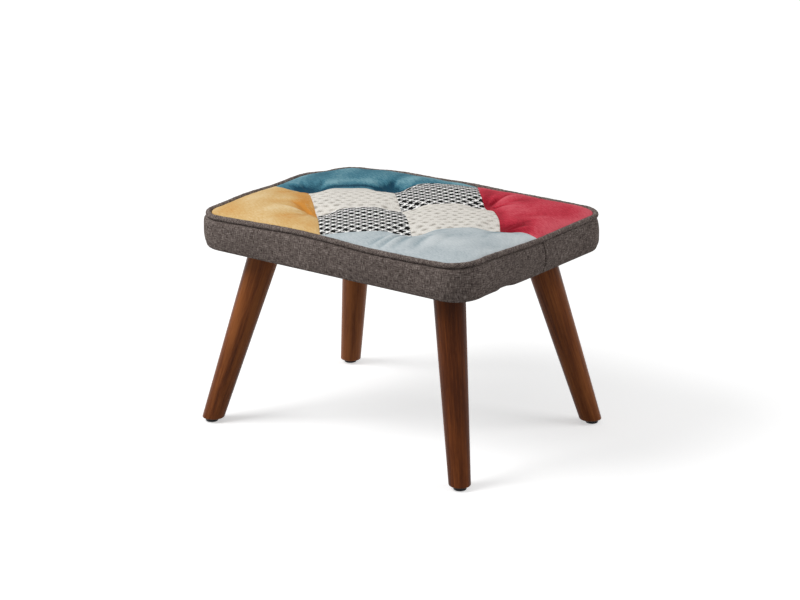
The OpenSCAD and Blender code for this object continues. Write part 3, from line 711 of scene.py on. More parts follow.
def patch(name, plan, u, v, finish, seed, puff=6.0, crease=1.0, pits=False):
    """Height = cushion + swelling + folds - dips. The swelling is the root of two sines, so it
    starts steeply at every seam. Puckers are ripples along a seam that fade away from it."""
    x, y = plan[..., 0], plan[..., 1]
    swell = np.sqrt(np.clip(np.sin(np.pi * u) * np.sin(np.pi * v), 0, 1))
    calm = np.clip(4 * swell ** 2, 0, 1)
    ripples = np.cos(2 * np.pi * (x + 0.6 * y) / PUCKER_STEP + 2 * lumps(x, y, PUCKER_BEND, seed))
    folds = PUCKER_HEIGHT * ripples * np.exp(-(swell / 0.5) ** 2) * swell * crease
    for k, tuft in enumerate(TUFTS):
        folds += crease * fan(x, y, tuft, 10 * seed + k, FAN_HEIGHT) * calm
    for mark in FOLDS.get(name, ()):
        folds += MM * fold(x / MM, y / MM, *mark) * calm
    folds += LUMP_HEIGHT * lumps(x, y, LUMP_SIZE, seed + 1) * calm
    pit = np.zeros_like(x)
    if pits:
        bent_x = x + PIT_DRIFT * lumps(x, y, DRIFT_ALONG, seed + 3)
        bent_y = y + PIT_DRIFT * lumps(x, y, DRIFT_ACROSS, seed + 4)
        pit = pits_at(bent_x, bent_y) * (0.95 + 0.4 * lumps(x, y, PIT_CHANGE, seed + 5))
    z = cushion_height(x, y) + puff * MM * swell + folds - PIT_DEPTH * pit * calm
    top = np.dstack([x, y, z])
    rows, columns = top.shape[:2]
    number = np.arange(rows * columns).reshape(rows, columns)
    edge = np.concatenate([number[:-1, 0], number[-1, :-1], number[:0:-1, -1], number[0, :0:-1]])
    low = rows * columns
    quads = np.stack([number[:-1, :-1], number[1:, :-1], number[1:, 1:], number[:-1, 1:]], -1)
    quads = quads.reshape(-1, 4)
    walls = np.stack([edge, np.roll(edge, -1), np.roll(edge, -1) + low, edge + low], -1)
    faces = np.vstack([quads, quads[:, ::-1] + low, walls]).tolist()
    floor = np.dstack([x, y, wadding_top(x, y)])
    points = np.vstack([top.reshape(-1, 3), floor.reshape(-1, 3)])
    mesh = bpy.data.meshes.new(name)
    mesh.from_pydata(points.tolist(), [], faces)
    corner = np.zeros(len(mesh.loops), np.int32)
    mesh.loops.foreach_get("vertex_index", corner)
    give_cloth_map(mesh, points[corner, :2])
    # Painted light and shade: deeper round the tufts (pressed nap and shade in the dents), beside
    # the seams and in fold valleys, paler on fold crests and near the rim, most at the back, as
    # painted highlight; then the listed lines.
    nap_and_shade = 0.8 * tuft_pull(x, y, TUFT_SHADE_REACH) + 0.4 * np.exp(-swell / 0.25) - 0.35 * folds / MM
    nap_and_shade -= (0.6 + 0.5 * y / HALF[1]) * np.exp(-(inset(x, y) / RIM_HIGHLIGHT_REACH) ** 2)
    nap_and_shade += sum(fold(x / MM, y / MM, *mark) for mark in SHADE_AND_HIGHLIGHT_LINES.get(name, ()))
    for label, field in ((NAP_AND_SHADE, nap_and_shade), (PITS, pit)):
        values = np.append(field.ravel(), np.zeros(low)).astype(np.float32)
        mesh.attributes.new(label, "FLOAT", "POINT").data.foreach_set("value", values)
    piece = finished(name, mesh, finish)
    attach(piece, "root")
    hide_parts(name)
    print(name, len(mesh.vertices), "points,", round(float(z.max()), 4), "m high")
    return piece


# %% The four corner patches
ALONG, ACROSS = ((340, 100))
for seed, (name, knots, finish, cloth_slot) in enumerate([
    ("patch_yellow", ("rim_left", "left", "front_left", "rim_front"), yellow_cloth, "yellow_cloth"),
    ("patch_teal", ("rim_left", "left", "back_left", "rim_back"), teal_cloth, "teal_cloth"),
    ("patch_red", ("rim_right", "right", "back_right", "rim_back"), red_cloth, "red_cloth"),
    ("patch_light_blue", ("rim_right", "right", "front_right", "rim_front"), blue_cloth,
     "light_blue_cloth"),
]):
    plan, u, v = corner_plan(knots, ALONG, ACROSS)
    patch(name, plan, u, v, finish, seed + 1)

# %% The four patches in the middle
SIDES = 156
for seed, (name, corners, finish, cloth_slot, puff, crease, pits) in enumerate([
    ("patch_cream_left", ("left", "back_left", "middle", "front_left"),
     cream_cloth, "cream_cloth", 4.5, 0.4, True),
    ("patch_cream_right", ("middle", "back_right", "right", "front_right"),
     cream_cloth, "cream_cloth", 4.5, 0.4, True),
    ("patch_houndstooth_front", ("front_left", "middle", "front_right", "rim_front"),
     houndstooth_cloth, "houndstooth_cloth", 2.8, 0.4, False),
    ("patch_houndstooth_back", ("back_left", "rim_back", "back_right", "middle"),
     houndstooth_cloth, "houndstooth_cloth", 2.8, 0.4, False),
]):
    plan, u, v = middle_plan(*corners, SIDES)
    patch(name, plan, u, v, finish, seed + 11, puff, crease, pits)

# %% [markdown]
# ## The piping
# The piping is a bias strip of the grey cloth sewn tightly round a cord. A curve with a bevel would
# make a plain tube; rings along the outline also carry the slight swell between stitches and the
# slanting pulls of cloth cut on the bias.

# %% Piping
PIPING_RINGS, PIPING_SIDES = 1200, 20
PULL_STEP = 9.01 * MM
PULL_HEIGHT, SWELL_HEIGHT, STITCHED_IN = 0.10 * MM, 0.12 * MM, 0.1 * MM
SETTLED_OUT = 1.2 * MM


def tube_rings(s, angles, radius):
    """Rings round the outline: out from it by radius times the cosine, up by radius times the sine.
    At the front left the tube has settled outwards a little."""
    cx, cy = outline(s, 0.0)
    settled = SETTLED_OUT * np.clip(-(cx / HALF[0] + cy / HALF[1]) / 2, 0, 1)[:, None]
    x, y = outline(s[:, None], settled + radius * np.cos(angles))
    z = PIPING_Z + wave(cx, cy)[:, None] + radius * np.sin(angles)
    return np.stack([x, y, np.broadcast_to(z, x.shape)], -1)


s = np.linspace(0, LOOP, PIPING_RINGS + 1)
turn = np.linspace(0, 2 * np.pi, PIPING_SIDES + 1)
ss, tt = s[:-1, None], turn[None, :-1]
slow = 2 * np.pi * ss / LOOP
pulls = PULL_HEIGHT * np.sin(2 * np.pi * ss / PULL_STEP + 1.5 * tt + 2 * np.sin(slow * 7))
swell = SWELL_HEIGHT * np.sin(slow * 61 + 1.3 * np.sin(slow * 13))
radius = PIPING_R + pulls + swell - STITCHED_IN
piping = loft("piping_cover", tube_rings(s[:-1], turn[None, :-1], radius), piping_cloth, s,
              turn * PIPING_R, ring_of_rings=True)
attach(piping, "root")
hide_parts("piping_cover")
print("piping", PIPING_RINGS, "rings")

# %% [markdown]
# ## The cord inside the piping
# The piping's filler is a cotton cord of three strands. Each strand's bulge is the absolute cosine
# of one and a half times the angle, and the angle turns along the cord, so the strands wind round.
# The number of turns is whole, so that the ring closes.

# %% Piping cord
CORD_R, CORD_LAY = 2.5 * MM, 28 * MM
CORD_TURNS = 2 * round(LOOP / CORD_LAY / 2)


def cotton(name, colour):
    f = Finish(name, Roughness=0.9, Specular_IOR_Level=0.2)
    fibres = f.noise(f.place(), 1.0 * MM, 3.0)
    shade = f.ramp(fibres, (0.3, tuple(0.7 * c for c in colour)), (0.7, colour))
    return f.done(shade, fibres, 0.2 * MM)


cord_cotton = cotton("cotton_cord", (0.78, 0.74, 0.64))
strands = np.abs(np.cos(1.5 * (tt - 2 * np.pi * CORD_TURNS * ss / LOOP)))
cord = loft("piping_cord", tube_rings(s[:-1], turn[None, :-1], CORD_R * (0.82 + 0.18 * strands)),
            cord_cotton, ring_of_rings=True)
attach(cord, "root")
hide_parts("piping_cord")
print("cord twists", CORD_TURNS, "times")

# %% [markdown]
# ## The band
# Two strips of the grey cloth, lined with soft fleece, make the band. It starts under the piping,
# swells out, rounds under the edge of the board and is stapled there. Its section is carried along
# the outline. On the front and the left it swells most in the middle of its height, and towards
# the back right corner it is fullest near the bottom, so two sections are blended. At the front
# left corner it hugs the piping. The strips meet in a seam on the right side and in one on the
# left; at a seam both ends turn in, which leaves a narrow groove.

# %% Band section
BOARD_Z = 308 * MM
HEM = 3 * MM
CLOTH_T = 1.2 * MM
FLANGE_IN = 32.8 * MM
FACE_STEPS, ROUND_STEPS = 30, 8
FULL_LEFT, FULL_RIGHT = 9.0 * MM, 6.0 * MM
ROUND_IN, HEM_RISE = 2.4 * MM, 0.8 * MM
UNDER_FIRST, UNDER_NEXT = 9 * MM, 15 * MM


def band_section(top, left_share, tuck):
    """Out and up of each point, from the inner angle under the board, up the wall, down the
    swelling face, round the hem and in under the board, for one height, one share and one tuck
    under the piping per ring. Both swellings jump out under the piping and fall off towards the
    hem."""
    n = np.linspace(0, 1, FACE_STEPS + 1)[None] ** 1.25
    face_low = (BOARD_Z + HEM + MM * (1.6 - 2.4 * left_share))[:, None]
    on_left = (1 - tuck[:, None] * np.exp(-n / 0.045)
               - 0.42 * np.clip((n - 0.45) / 0.55, 0, 1) ** 2.2)
    on_right = 1 - 0.85 * np.exp(-n / 0.2) - 0.45 * np.clip((n - 0.8) / 0.2, 0, 1) ** 2
    share = left_share[:, None]
    face_out = share * FULL_LEFT * on_left + (1 - share) * FULL_RIGHT * on_right
    face_z = top[:, None] + (face_low - top[:, None]) * n
    a = np.linspace(0, np.pi / 2, ROUND_STEPS + 1)[None, 1:]
    low_out = face_out[:, -1:]
    round_out = low_out - (low_out + ROUND_IN) * (1 - np.cos(a))
    round_z = face_low - 2 * HEM * np.sin(a)
    hem_z = round_z[:, -1:]
    under = BOARD_Z - CLOTH_T
    wide = np.ones_like(face_low)
    out = [-PIPING_R * wide, -PIPING_R * wide, face_out, round_out, -UNDER_FIRST * wide,
           -UNDER_NEXT * wide, -FLANGE_IN * wide, -FLANGE_IN * wide]
    up = [BOARD_Z * wide, top[:, None], face_z, round_z, np.minimum(hem_z + HEM_RISE, under),
          under * wide, under * wide, BOARD_Z * wide]
    return np.hstack(out), np.hstack(up)


print("band section has", 2 + FACE_STEPS + 1 + ROUND_STEPS + 4, "points")

# %% Band strips
RIGHT_SEAM, LEFT_SEAM = 12 * MM, LOOP / 2
HEM_LIFTS = [(99, 7, 1.6), (84, 13, 2.0), (130, 50, 1.8)]
TOP_GAP = 0.3 * MM
GROOVE_DEPTH, GROOVE_HALF = 4.8 * MM, 1.3 * MM
SEAM_LEAN, LEAN_REACH = 2.6 * MM, 25 * MM
TUCK, SNUG_TUCK, SNUG_REACH = 0.85, 0.35, 45 * MM
BAND_STEP = 2.2 * MM


def band_strip(name, start, end):
    """Rings from one seam to the other. Slow lumps and slanting pulls move the face in and out by
    half a millimetre, bells lift the hem at three places, the ends turn in at the seams, and the
    seam on the right leans a little at half height."""
    s = np.linspace(start, end, int((end - start) / BAND_STEP) + 1)
    near = np.linspace(0, 1, 11)[1:-1] * 5 * MM
    s = np.sort(np.concatenate([s, start + near, end - near]))
    x0, y0 = outline(s, 0.0)
    top = PIPING_Z + wave(x0, y0) - PIPING_R - TOP_GAP
    left_share = 0.5 - 0.25 * (x0 / HALF[0] + y0 / HALF[1])
    snug = np.exp(-np.sum((np.stack([x0, y0], -1) + HALF) ** 2, -1) / SNUG_REACH ** 2)
    out, up = band_section(top, left_share, TUCK - (TUCK - SNUG_TUCK) * snug)
    down = np.clip((top[:, None] - up) / (top[:, None] - BOARD_Z), 0, 1.1)
    face = np.zeros(out.shape[1])
    face[3:FACE_STEPS + ROUND_STEPS + 3] = 1
    round_s = 2 * np.pi * s[:, None] / LOOP
    pull = (0.35 * np.sin(23 * round_s + 1.1 * np.sin(5 * round_s) + 1.6 * down)
            + 0.25 * np.sin(41 * round_s - 2.0 * down + 2) + 0.2 * np.sin(71 * round_s + 3 * down))
    out = out + face * pull * MM * 0.8 * np.sin(np.pi * np.clip(down, 0.05, 1))
    end_near = np.minimum(s - start, end - s)[:, None]
    out = out - face * GROOVE_DEPTH * np.exp(-(end_near / GROOVE_HALF) ** 2)
    lift = sum(h * MM * np.exp(-((s[:, None] - LOOP + place * MM) / (width * MM)) ** 2)
               for place, width, h in HEM_LIFTS) * face * np.clip(3 * down - 2, 0, 1)
    out, up = out - 0.8 * lift, up + lift
    lean = SEAM_LEAN * np.sin(np.pi * np.clip(down, 0, 1)) * face
    near_start = np.exp(-((s[:, None] - RIGHT_SEAM) / LEAN_REACH) ** 2)
    near_end = np.exp(-((s[:, None] - RIGHT_SEAM - LOOP) / LEAN_REACH) ** 2)
    x, y = outline(s[:, None] + lean * (near_start + near_end), out)
    rings = np.stack([x, y, up], -1)
    steps = np.linalg.norm(np.diff(rings[len(s) // 2], axis=0), axis=1)
    across = np.concatenate([[0], np.cumsum(steps), [steps.sum()]])
    strip = loft(name, rings, band_cloth, np.append(s, s[-1]), across)
    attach(strip, "root")
    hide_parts(name)
    print(name, rings.shape[0], "rings of", rings.shape[1])


band_strip("band_back", RIGHT_SEAM, LEFT_SEAM)
band_strip("band_front", LEFT_SEAM, LOOP + RIGHT_SEAM)

# %% [markdown]
# ## Wood of the legs
# The legs are turned beech, stained walnut and lacquered satin. The grain runs along each leg, so
# the finish can't read the stool's own axes: every leg carries an attribute that holds each
# point's place in the wood before it was tilted. Long noise gives the broad figure, shorter
# noise the dark pores. A second attribute makes a whole leg a little paler or darker; this is
# painted light and shade for how each leg is lit, darker on the front right leg in the seat's
# shade, rather than a difference of stain.

# %% Walnut finish
GRAIN, LEG_LIGHT = "grain", "painted_leg_light"


def walnut(name):
    f = Finish(name, Specular_IOR_Level=0.09)
    wood = f.add("Attribute", {}, output="Vector", attribute_name=GRAIN)
    figure = f.noise(f.scaled(wood, 1.0, 1.0, 0.07), 14 * MM, 3.0, 0.5)
    streaks = f.noise(f.scaled(wood, 1.0, 1.0, 0.035), 3.2 * MM, 2.0, 0.5)
    pores = f.noise(f.scaled(wood, 1.0, 1.0, 0.06), 0.9 * MM, 2.0, 0.6)
    # Painted light and shade: one value per leg pales or darkens the whole leg by how it is lit.
    painted_leg_light = f.add("Attribute", {}, output="Fac", attribute_name=LEG_LIGHT)
    tone = f.total((figure, 0.55), (streaks, 0.27), (pores, 0.2), (painted_leg_light, 1.0))
    colour = f.ramp(tone, (0.37, (0.085, 0.021, 0.006)), (0.50, (0.176, 0.049, 0.013)),
                    (0.65, (0.300, 0.098, 0.028)))
    rough = f.total((pores, 0.16), (streaks, 0.08), (figure, 0.44))
    return f.done(colour, f.total((pores, 0.5), (streaks, 0.5)), 0.1 * MM, rough)


walnut_wood = walnut("walnut_wood")
print("walnut ready")

# %% [markdown]
# ## The legs
# A leg is a straight taper on a line that leans outwards both ways. It is cut off level with the
# floor, so its foot is a slanting cut across the cone, with a small rounded edge. Turning a shape
# in a modifier would give a square end; here each line down the cone is followed until it reaches
# the level of the cut.

# %% Legs
PLATE_Z = 307.2 * MM
LEG_AT, FOOT_AT = np.array([184.0, 122.0]) * MM, np.array([256.0, 188.0]) * MM
LEG_TOP_R, LEG_FOOT_R = 26 * MM, 17.5 * MM
PLATE_GAP = 2.8 * MM
TOP_EDGE, FOOT_EDGE = 1.5 * MM, 2.4 * MM
GLIDE_H = 6.5 * MM
SPLAY = np.append(FOOT_AT - LEG_AT, -PLATE_Z)
LEG_LINE = np.linalg.norm(SPLAY)
LEG_TILT = math.acos(PLATE_Z / LEG_LINE)
LEG_DROP = (PLATE_GAP + LEG_TOP_R * math.sin(LEG_TILT)) / math.cos(LEG_TILT)
CORNERS = {
    "front_left": (-1, -1), "front_right": (1, -1), "back_left": (-1, 1), "back_right": (1, 1),
}


def rounded(a, corner, b, steps):
    """Points on the parabola from a to b that the corner pulls on."""
    t = np.linspace(0, 1, steps + 1)[:, None, None]
    return (1 - t) ** 2 * a + 2 * t * (1 - t) * corner + t ** 2 * b


def leg(name, sx, sy, turn_of_wood, painted_leg_light, sides=96):
    """Lines down a cone. Each runs to the level of the cut: its reach is the height of its start
    above the cut, over its own fall for a step down the axis. Both ends have a rounded edge."""
    mirror = np.array([sx, sy, 1.0])
    down = SPLAY / LEG_LINE * mirror
    plate = np.append(LEG_AT, PLATE_Z) * mirror
    side = np.cross(down, (0, 0, 1.0))
    side /= np.linalg.norm(side)
    front = np.cross(down, side)
    turn = np.linspace(0, 2 * np.pi, sides, endpoint=False)[:, None]
    spoke = np.cos(turn) * side + np.sin(turn) * front
    taper = (LEG_FOOT_R - LEG_TOP_R) / (LEG_LINE - LEG_DROP)
    top = plate + down * LEG_DROP + spoke * LEG_TOP_R
    start_r = LEG_TOP_R - taper * LEG_DROP
    reach = (PLATE_Z + start_r * spoke[:, 2:] - GLIDE_H) / (-down[2] - taper * spoke[:, 2:])
    foot = plate + down * reach + spoke * (start_r + taper * reach)
    up_wall = (top - foot) / np.linalg.norm(top - foot, axis=1, keepdims=True)
    inward = foot.mean(0) - foot
    inward /= np.linalg.norm(inward, axis=1, keepdims=True)
    t = np.linspace(0, 1, 41)[:, None, None]
    top_edge = rounded(top - spoke * TOP_EDGE, top, top - up_wall * TOP_EDGE, 4)
    foot_edge = rounded(foot + up_wall * FOOT_EDGE, foot, foot + inward * FOOT_EDGE, 8)
    wall = (top_edge[-1] * (1 - t) + foot_edge[0] * t)[1:-1]
    rings = np.concatenate([top_edge, wall, foot_edge])
    piece = loft(name, rings, walnut_wood, smooth=math.radians(50))
    points = np.zeros(len(piece.data.vertices) * 3, np.float32)
    piece.data.vertices.foreach_get("co", points)
    local = (points.reshape(-1, 3) - plate) @ np.stack([side, front, down], 1)
    c, s_ = math.cos(turn_of_wood), math.sin(turn_of_wood)
    wood = (local @ np.array([[c, s_, 0], [-s_, c, 0], [0, 0, 1]])
            + (0.3 * turn_of_wood, 0.2, turn_of_wood))
    piece.data.attributes.new(GRAIN, "FLOAT_VECTOR", "POINT").data.foreach_set(
        "vector", wood.astype(np.float32).ravel())
    piece.data.attributes.new(LEG_LIGHT, "FLOAT", "POINT").data.foreach_set(
        "value", np.full(len(points) // 3, painted_leg_light, np.float32))
    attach(piece, "root")
    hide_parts(name)
    print(name, "tilts", round(math.degrees(LEG_TILT), 2), "degrees")


# Painted light and shade: the front right leg, in the seat's shade, is painted darker, and the
# other three, which catch more light, paler.
LEG_PAINTED_LIGHT = {"front_left": 0.06, "front_right": -0.075, "back_left": 0.09, "back_right": 0.05}
for k, (corner, (sx, sy)) in enumerate(CORNERS.items()):
    leg("leg_" + corner, sx, sy, 1.7 * k + 0.4, LEG_PAINTED_LIGHT[corner])

# %% [markdown]
# ## The glides
# A black plastic disc is nailed under each foot. It is turned: a profile of radius and height goes
# once round its axis. Its lower edge is rounded and its middle has a recess for the nail's head.

# %% Moulded plastic and glides
def moulded(name, colour, rough):
    f = Finish(name, Specular_IOR_Level=0.2)
    grains = f.noise(f.place(), 0.5 * MM, 3.0)
    shade = f.ramp(grains, (0.3, colour), (0.8, tuple(1.6 * c for c in colour)))
    return f.done(shade, grains, 0.04 * MM, f.total((grains, 0.25), (grains, rough)))


black_plastic = moulded("black_plastic", (0.006, 0.006, 0.007), 0.55)


def turned(name, x, y, profile, finish, sides=64, smooth=math.radians(40)):
    """A profile of (radius, height) pairs carried once round an upright axis."""
    profile = np.asarray(profile)
    turn = np.linspace(0, 2 * np.pi, sides, endpoint=False)
    rings = np.stack([
        x + profile[:, :1] * np.cos(turn), y + profile[:, :1] * np.sin(turn),
        np.broadcast_to(profile[:, 1:], (len(profile), sides)),
    ], -1)
    return loft(name, rings, finish, smooth=smooth)


GLIDE_R, GLIDE_EDGE, FINE_EDGE = 10.5 * MM, 1.6 * MM, 0.3 * MM
NAIL_HOLE_R, RECESS_R, RECESS_DEPTH = 1.4 * MM, 3.7 * MM, 2.4 * MM
a = np.linspace(0, np.pi / 2, 7)
edge = np.stack([GLIDE_R - GLIDE_EDGE + GLIDE_EDGE * np.sin(a),
                 GLIDE_EDGE - GLIDE_EDGE * np.cos(a)], -1)
glide_profile = np.vstack([
    [(NAIL_HOLE_R, RECESS_DEPTH), (RECESS_R, RECESS_DEPTH), (RECESS_R, FINE_EDGE),
     (RECESS_R + FINE_EDGE, 0)], edge,
    [(GLIDE_R, GLIDE_H - FINE_EDGE), (GLIDE_R - FINE_EDGE, GLIDE_H), (NAIL_HOLE_R, GLIDE_H)],
])
for corner, (sx, sy) in CORNERS.items():
    glide = turned("glide_" + corner, sx * FOOT_AT[0], sy * FOOT_AT[1], glide_profile,
                   black_plastic)
    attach(glide, "root")
    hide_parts("glide_" + corner)
print("glides", round(2000 * GLIDE_R, 1), "mm across")

# %% [markdown]
# ## Foam, wadding and dust cover
# Under the patches lie a sheet of wadding and a block of foam, and a thin black cloth closes the
# underside. All three are slabs with the seat's outline. A slab is a loft of outlines, each drawn
# in from the piping's line by a distance and set at a height, and closed by a flat face above and
# below.

# %% Soft slabs
INWARD = np.array([15, 25, 35, 43, 60, 80, 100, 120, 140, 160, 180]) * MM
LEAST_CORNER = 1 * MM
WADDING = 6


def slab(name, steps, finish, count=480):
    """A loft through (inset, height) steps, each one the outline drawn in by the inset. A height is
    a number or a function of the place."""
    s = np.linspace(0, LOOP, count, endpoint=False)
    furthest = CORNER_R - LEAST_CORNER
    rings = []
    for step_in, height in steps:
        x, y = outline(s, -min(step_in, furthest))
        shrink = 1 - max(step_in - furthest, 0) / HALF[1]
        x, y = x * shrink, y * shrink
        z = height(x, y) if callable(height) else np.full_like(x, height)
        rings.append(np.stack([x, y, z], -1))
    piece = loft(name, np.array(rings), finish)
    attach(piece, "root")
    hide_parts(name)
    return piece


def under_patches(depth):
    """A height so many millimetres under the top of the wadding."""
    return lambda x, y: wadding_top(x, y) - depth * MM


def soft_filling(name, colour, cell, depth):
    f = Finish(name, Roughness=0.95, Specular_IOR_Level=0.1)
    cells = f.add("TexVoronoi", {"Vector": f.place(), "Scale": 1 / cell})
    shade = f.ramp(cells, (0.0, tuple(0.75 * c for c in colour)), (0.6, colour))
    return f.done(shade, cells, depth)


foam_finish = soft_filling("foam", (0.84, 0.77, 0.50), 1.4 * MM, 0.3 * MM)
wadding_finish = soft_filling("wadding", (0.88, 0.88, 0.87), 3.5 * MM, 0.5 * MM)
foam = slab("foam_block", [
    (6.3 * MM, 323 * MM), (4.8 * MM, 324.5 * MM), (4.8 * MM, under_patches(8.5)),
    (5.8 * MM, under_patches(6.8)), (7.6 * MM, under_patches(WADDING)),
] + [(step_in, under_patches(WADDING)) for step_in in INWARD], foam_finish)
wadding = slab("wadding_sheet", [(step_in, under_patches(WADDING)) for step_in in INWARD[::-1]] + [
    (7.5 * MM, under_patches(WADDING)), (5.2 * MM, under_patches(5)), (4.8 * MM, under_patches(3)),
    (5.2 * MM, under_patches(1)), (7.5 * MM, under_patches(0)),
] + [(step_in, under_patches(0)) for step_in in INWARD], wadding_finish)
print("foam and wadding ready")

# %% Dust cover
def spun_cloth(name, colour):
    f = Finish(name, Roughness=0.85, Specular_IOR_Level=0.2)
    place = f.place()
    dimples = f.add("TexVoronoi", {"Vector": place, "Scale": 1 / (1.8 * MM)})
    fibres = f.noise(place, 4 * MM, 4.0, 0.7)
    tone = f.total((fibres, 0.8), (dimples, 0.3))
    shade = f.ramp(tone, (0.3, colour), (0.75, tuple(2.4 * c for c in colour)))
    return f.done(shade, f.total((dimples, 1.0), (fibres, 0.6)), 0.25 * MM)


COVER_EDGE_IN = 18.8 * MM
cover_finish = spun_cloth("dust_cloth", (0.012, 0.012, 0.013))
cover = slab("dust_cover", [
    (34.4 * MM, 307.2 * MM), (32.6 * MM, 306.0 * MM), (COVER_EDGE_IN + 0.3 * MM, 306.0 * MM),
    (COVER_EDGE_IN, 306.2 * MM), (COVER_EDGE_IN, 306.6 * MM),
    (COVER_EDGE_IN + 0.3 * MM, 306.8 * MM), (32.2 * MM, 306.8 * MM), (33.6 * MM, 308.0 * MM),
], cover_finish)
print("dust cover ready")

# %% [markdown]
# ## Tufting twines
# A waxed twine holds each tuft: a flat knot under a washer that is let into the board's underside,
# three strands up through board, foam and wadding, and a knot in the quilting of the patches. A
# tuft that is drawn deeper has a shorter twine. Like the cord, each twine is a loft of rings, but
# on one upright line.

# %% Twines
TWINE_R, KNOT_R, KNOT_H = 1.0 * MM, 2.4 * MM, 2.0 * MM
TWINE_LAY, TWINE_TIP, KNOT_UNDER = 9 * MM, 0.2 * MM, 2.5 * MM


def twisted_yarn(name, colour):
    f = Finish(name, Roughness=0.7, Specular_IOR_Level=0.3)
    plies = f.add("TexWave", {"Vector": f.scaled(f.place(), 1.0, 1.0, 0.8), "Scale": 320.0,
                              "Distortion": 1.0}, output=1, bands_direction="DIAGONAL")
    shade = f.ramp(plies, (0.1, tuple(0.55 * c for c in colour)), (0.7, colour))
    return f.done(shade, plies, 0.3 * MM)


def twine(name, x, y, low, high, finish):
    """Radius: three strands that wind up the line, and a flat swelling at either end."""
    z = np.sort(np.concatenate([np.linspace(low, high, 60), low + np.linspace(0, KNOT_H, 12),
                                high - np.linspace(0, KNOT_H, 12)]))[:, None]
    angle = np.linspace(0, 2 * np.pi, 24, endpoint=False)[None]
    strands = TWINE_R * (0.80 + 0.20 * np.abs(np.cos(1.5 * (angle - 2 * np.pi * z / TWINE_LAY))))
    ends = np.minimum(z - low, high - z)
    knot = np.sqrt(np.clip(1 - (2 * ends / KNOT_H - 1) ** 2, 0, 1)) * KNOT_R
    plain = np.where(ends < KNOT_H / 2, TWINE_TIP, strands)
    radius = np.maximum(plain, np.where(ends < KNOT_H, knot, 0))
    rings = np.stack([x + radius * np.cos(angle), y + radius * np.sin(angle),
                      np.broadcast_to(z, radius.shape)], -1)
    return loft(name, np.delete(rings, np.flatnonzero(np.diff(z[:, 0]) < 1e-6), 0), finish)


twine_finish = twisted_yarn("twine", (0.70, 0.66, 0.55))
twine_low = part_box("tuft_twines")[0][2]
twines = joined("tuft_twines", [
    twine("twine", x, y, twine_low, float(cushion_height(x, y)) - KNOT_UNDER, twine_finish)
    for x, y in TUFTS
])
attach(twines, "root")
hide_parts("tuft_twines")
print(len(TUFTS), "twines")

# %% [markdown]
# ## Boards and fastenings
# The plywood board, the leg plates, screws, bolts, nails, staples and washers keep the shapes of
# the construction model. They only need finishes: layered birch on the board's edge, powder coat
# on the plates, and zinc that is a little cloudy, as plated steel is.

# %% Finishes for what stays
def plywood(name):
    f = Finish(name, Roughness=0.75, Specular_IOR_Level=0.2)
    place = f.place()
    grain = f.noise(f.scaled(place, 0.08, 1.0, 1.0), 5 * MM, 3.0, 0.6)
    height = f.add("SeparateXYZ", {"Vector": place}, output=2)
    layers = f.maths("GREATER_THAN", f.maths("FLOORED_MODULO", height, 6 * MM), 3 * MM)
    shade = f.ramp(grain, (0.3, (0.46, 0.31, 0.17)), (0.7, (0.66, 0.49, 0.30)))
    darker = f.ramp(grain, (0.3, (0.30, 0.19, 0.10)), (0.7, (0.45, 0.31, 0.18)))
    return f.done(f.between(f.maths("MULTIPLY", layers, 0.6), shade, darker), grain, 0.15 * MM)


def metal(name, colour, cloud, rough, metallic):
    f = Finish(name, Metallic=metallic)
    clouds = f.noise(f.place(), cloud, 3.0)
    shade = f.ramp(clouds, (0.3, tuple(0.8 * c for c in colour)), (0.7, colour))
    return f.done(shade, clouds, 0.05 * MM, f.total((clouds, 0.3), (clouds, rough)))


zinc = metal("zinc_steel", (0.62, 0.62, 0.60), 3 * MM, 0.35, 1.0)
plate_coat = metal("plate_steel", (0.045, 0.045, 0.05), 0.8 * MM, 0.6, 0.0)
KEPT = {
    "seat_board": plywood("plywood"), "tuft_washers": black_plastic, "band_staples": zinc,
    "dust_cover_staples": zinc, "leg_plate_screws": zinc, "glide_nails": zinc,
    **{"leg_plate_" + corner: plate_coat for corner in CORNERS},
    **{"hanger_bolt_" + corner: zinc for corner in CORNERS},
}
for node, finish in KEPT.items():
    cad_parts[node].data.materials.clear()
    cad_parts[node].data.materials.append(finish)
print(len(KEPT), "nodes keep their shapes")

# %% [markdown]
# ## Floor, lamps and room
# The stool stands on a plain white floor in a white room. A white that comes from strong lamps
# would bleach the cloths, so the lamps light the stool at a plain level, and the floor and the
# room show white to the camera and in reflections only. The floor keeps the stool's soft shadow.

# %% Floor
def seen_directly(tree):
    """1 for a ray from the camera, in a mirror or through glass, and 0 for all other light."""
    ray = tree.nodes.new("ShaderNodeLightPath")
    either = ray.outputs["Is Camera Ray"]
    for other in ("Is Glossy Ray", "Is Transmission Ray"):
        greater = tree.nodes.new("ShaderNodeMath")
        greater.operation = "MAXIMUM"
        tree.links.new(either, greater.inputs[0])
        tree.links.new(ray.outputs[other], greater.inputs[1])
        either = greater.outputs[0]
    return either


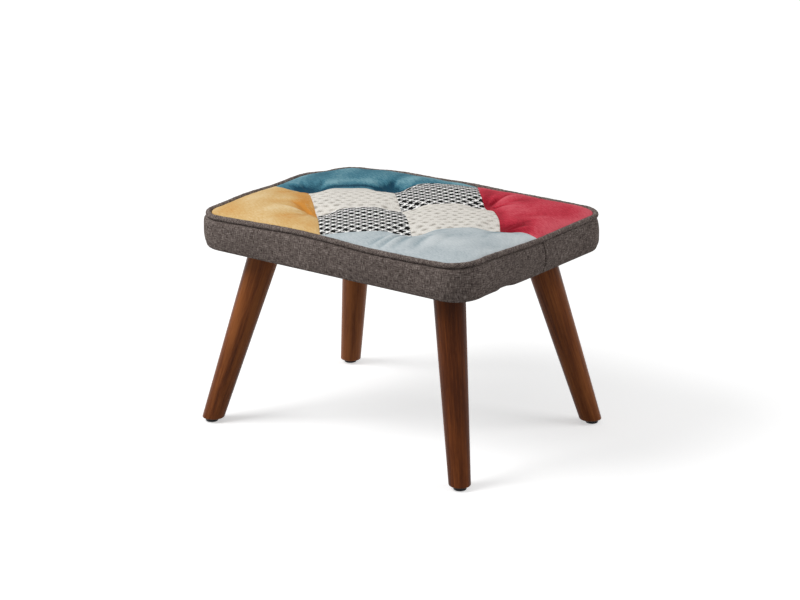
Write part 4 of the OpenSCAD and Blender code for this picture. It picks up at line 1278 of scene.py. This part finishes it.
def studio_floor(half_size):
    """A square whose glow, for direct rays, grows outwards, as the lamps fade."""
    mesh = bpy.data.meshes.new("floor")
    h = half_size
    mesh.from_pydata([(-h, -h, 0), (h, -h, 0), (h, h, 0), (-h, h, 0)], [], [(0, 1, 2, 3)])
    floor = bpy.data.objects.new("floor", mesh)
    bpy.context.scene.collection.objects.link(floor)
    f = Finish("floor", Roughness=1.0, Specular_IOR_Level=0.0)
    seen = seen_directly(f.tree)
    distance = f.add("VectorMath", {0: f.place()}, output=1, operation="LENGTH")
    glow = f.add("MapRange", {0: distance, 1: 0.8, 2: 3.0, 3: 0.50, 4: 0.82},
                 interpolation_type="SMOOTHSTEP")
    f.tree.links.new(f.maths("MULTIPLY", seen, glow), f.shader.inputs["Emission Strength"])
    f.shader.inputs["Emission Color"].default_value = (1, 1, 1, 1)
    mesh.materials.append(f.done(f.between(seen, (0.45, 0.45, 0.45), (0.80, 0.80, 0.80))))
    return floor


studio_floor(14.0)
print("floor laid")

# %% Lamps and room
LAMP_AIM = Vector((0, 0, 0.25))


def lamp(name, turn, height, distance, size, share):
    """A square lamp that looks at the stool. At that distance it gives a surface that faces it
    this share of full light: power = share x pi squared x distance squared."""
    data = bpy.data.lights.new(name, "AREA")
    data.size = size
    data.energy = share * math.pi ** 2 * distance ** 2
    t, h = math.radians(turn), math.radians(height)
    way = Vector((math.sin(t) * math.cos(h), -math.cos(t) * math.cos(h), math.sin(h)))
    lamp_object = bpy.data.objects.new(name, data)
    lamp_object.location = LAMP_AIM + way * distance
    lamp_object.rotation_euler = (-way).to_track_quat("-Z", "Y").to_euler()
    bpy.context.scene.collection.objects.link(lamp_object)


lamp("key_lamp", -38, 46, 2.8, 1.4, 0.70)
lamp("fill_lamp", 118, 38, 3.2, 1.8, 0.28)

room = bpy.data.worlds.new("room")
bpy.context.scene.world = room
room.use_nodes = True
level = room.node_tree.nodes.new("ShaderNodeMapRange")
level.inputs["To Min"].default_value = 0.30
level.inputs["To Max"].default_value = 1.0
room.node_tree.links.new(seen_directly(room.node_tree), level.inputs["Value"])
room.node_tree.links.new(level.outputs[0], room.node_tree.nodes["Background"].inputs["Strength"])
room.node_tree.nodes["Background"].inputs["Color"].default_value = (1, 1, 1, 1)
bpy.context.scene.view_settings.view_transform = "Standard"
print("lamps and room ready")
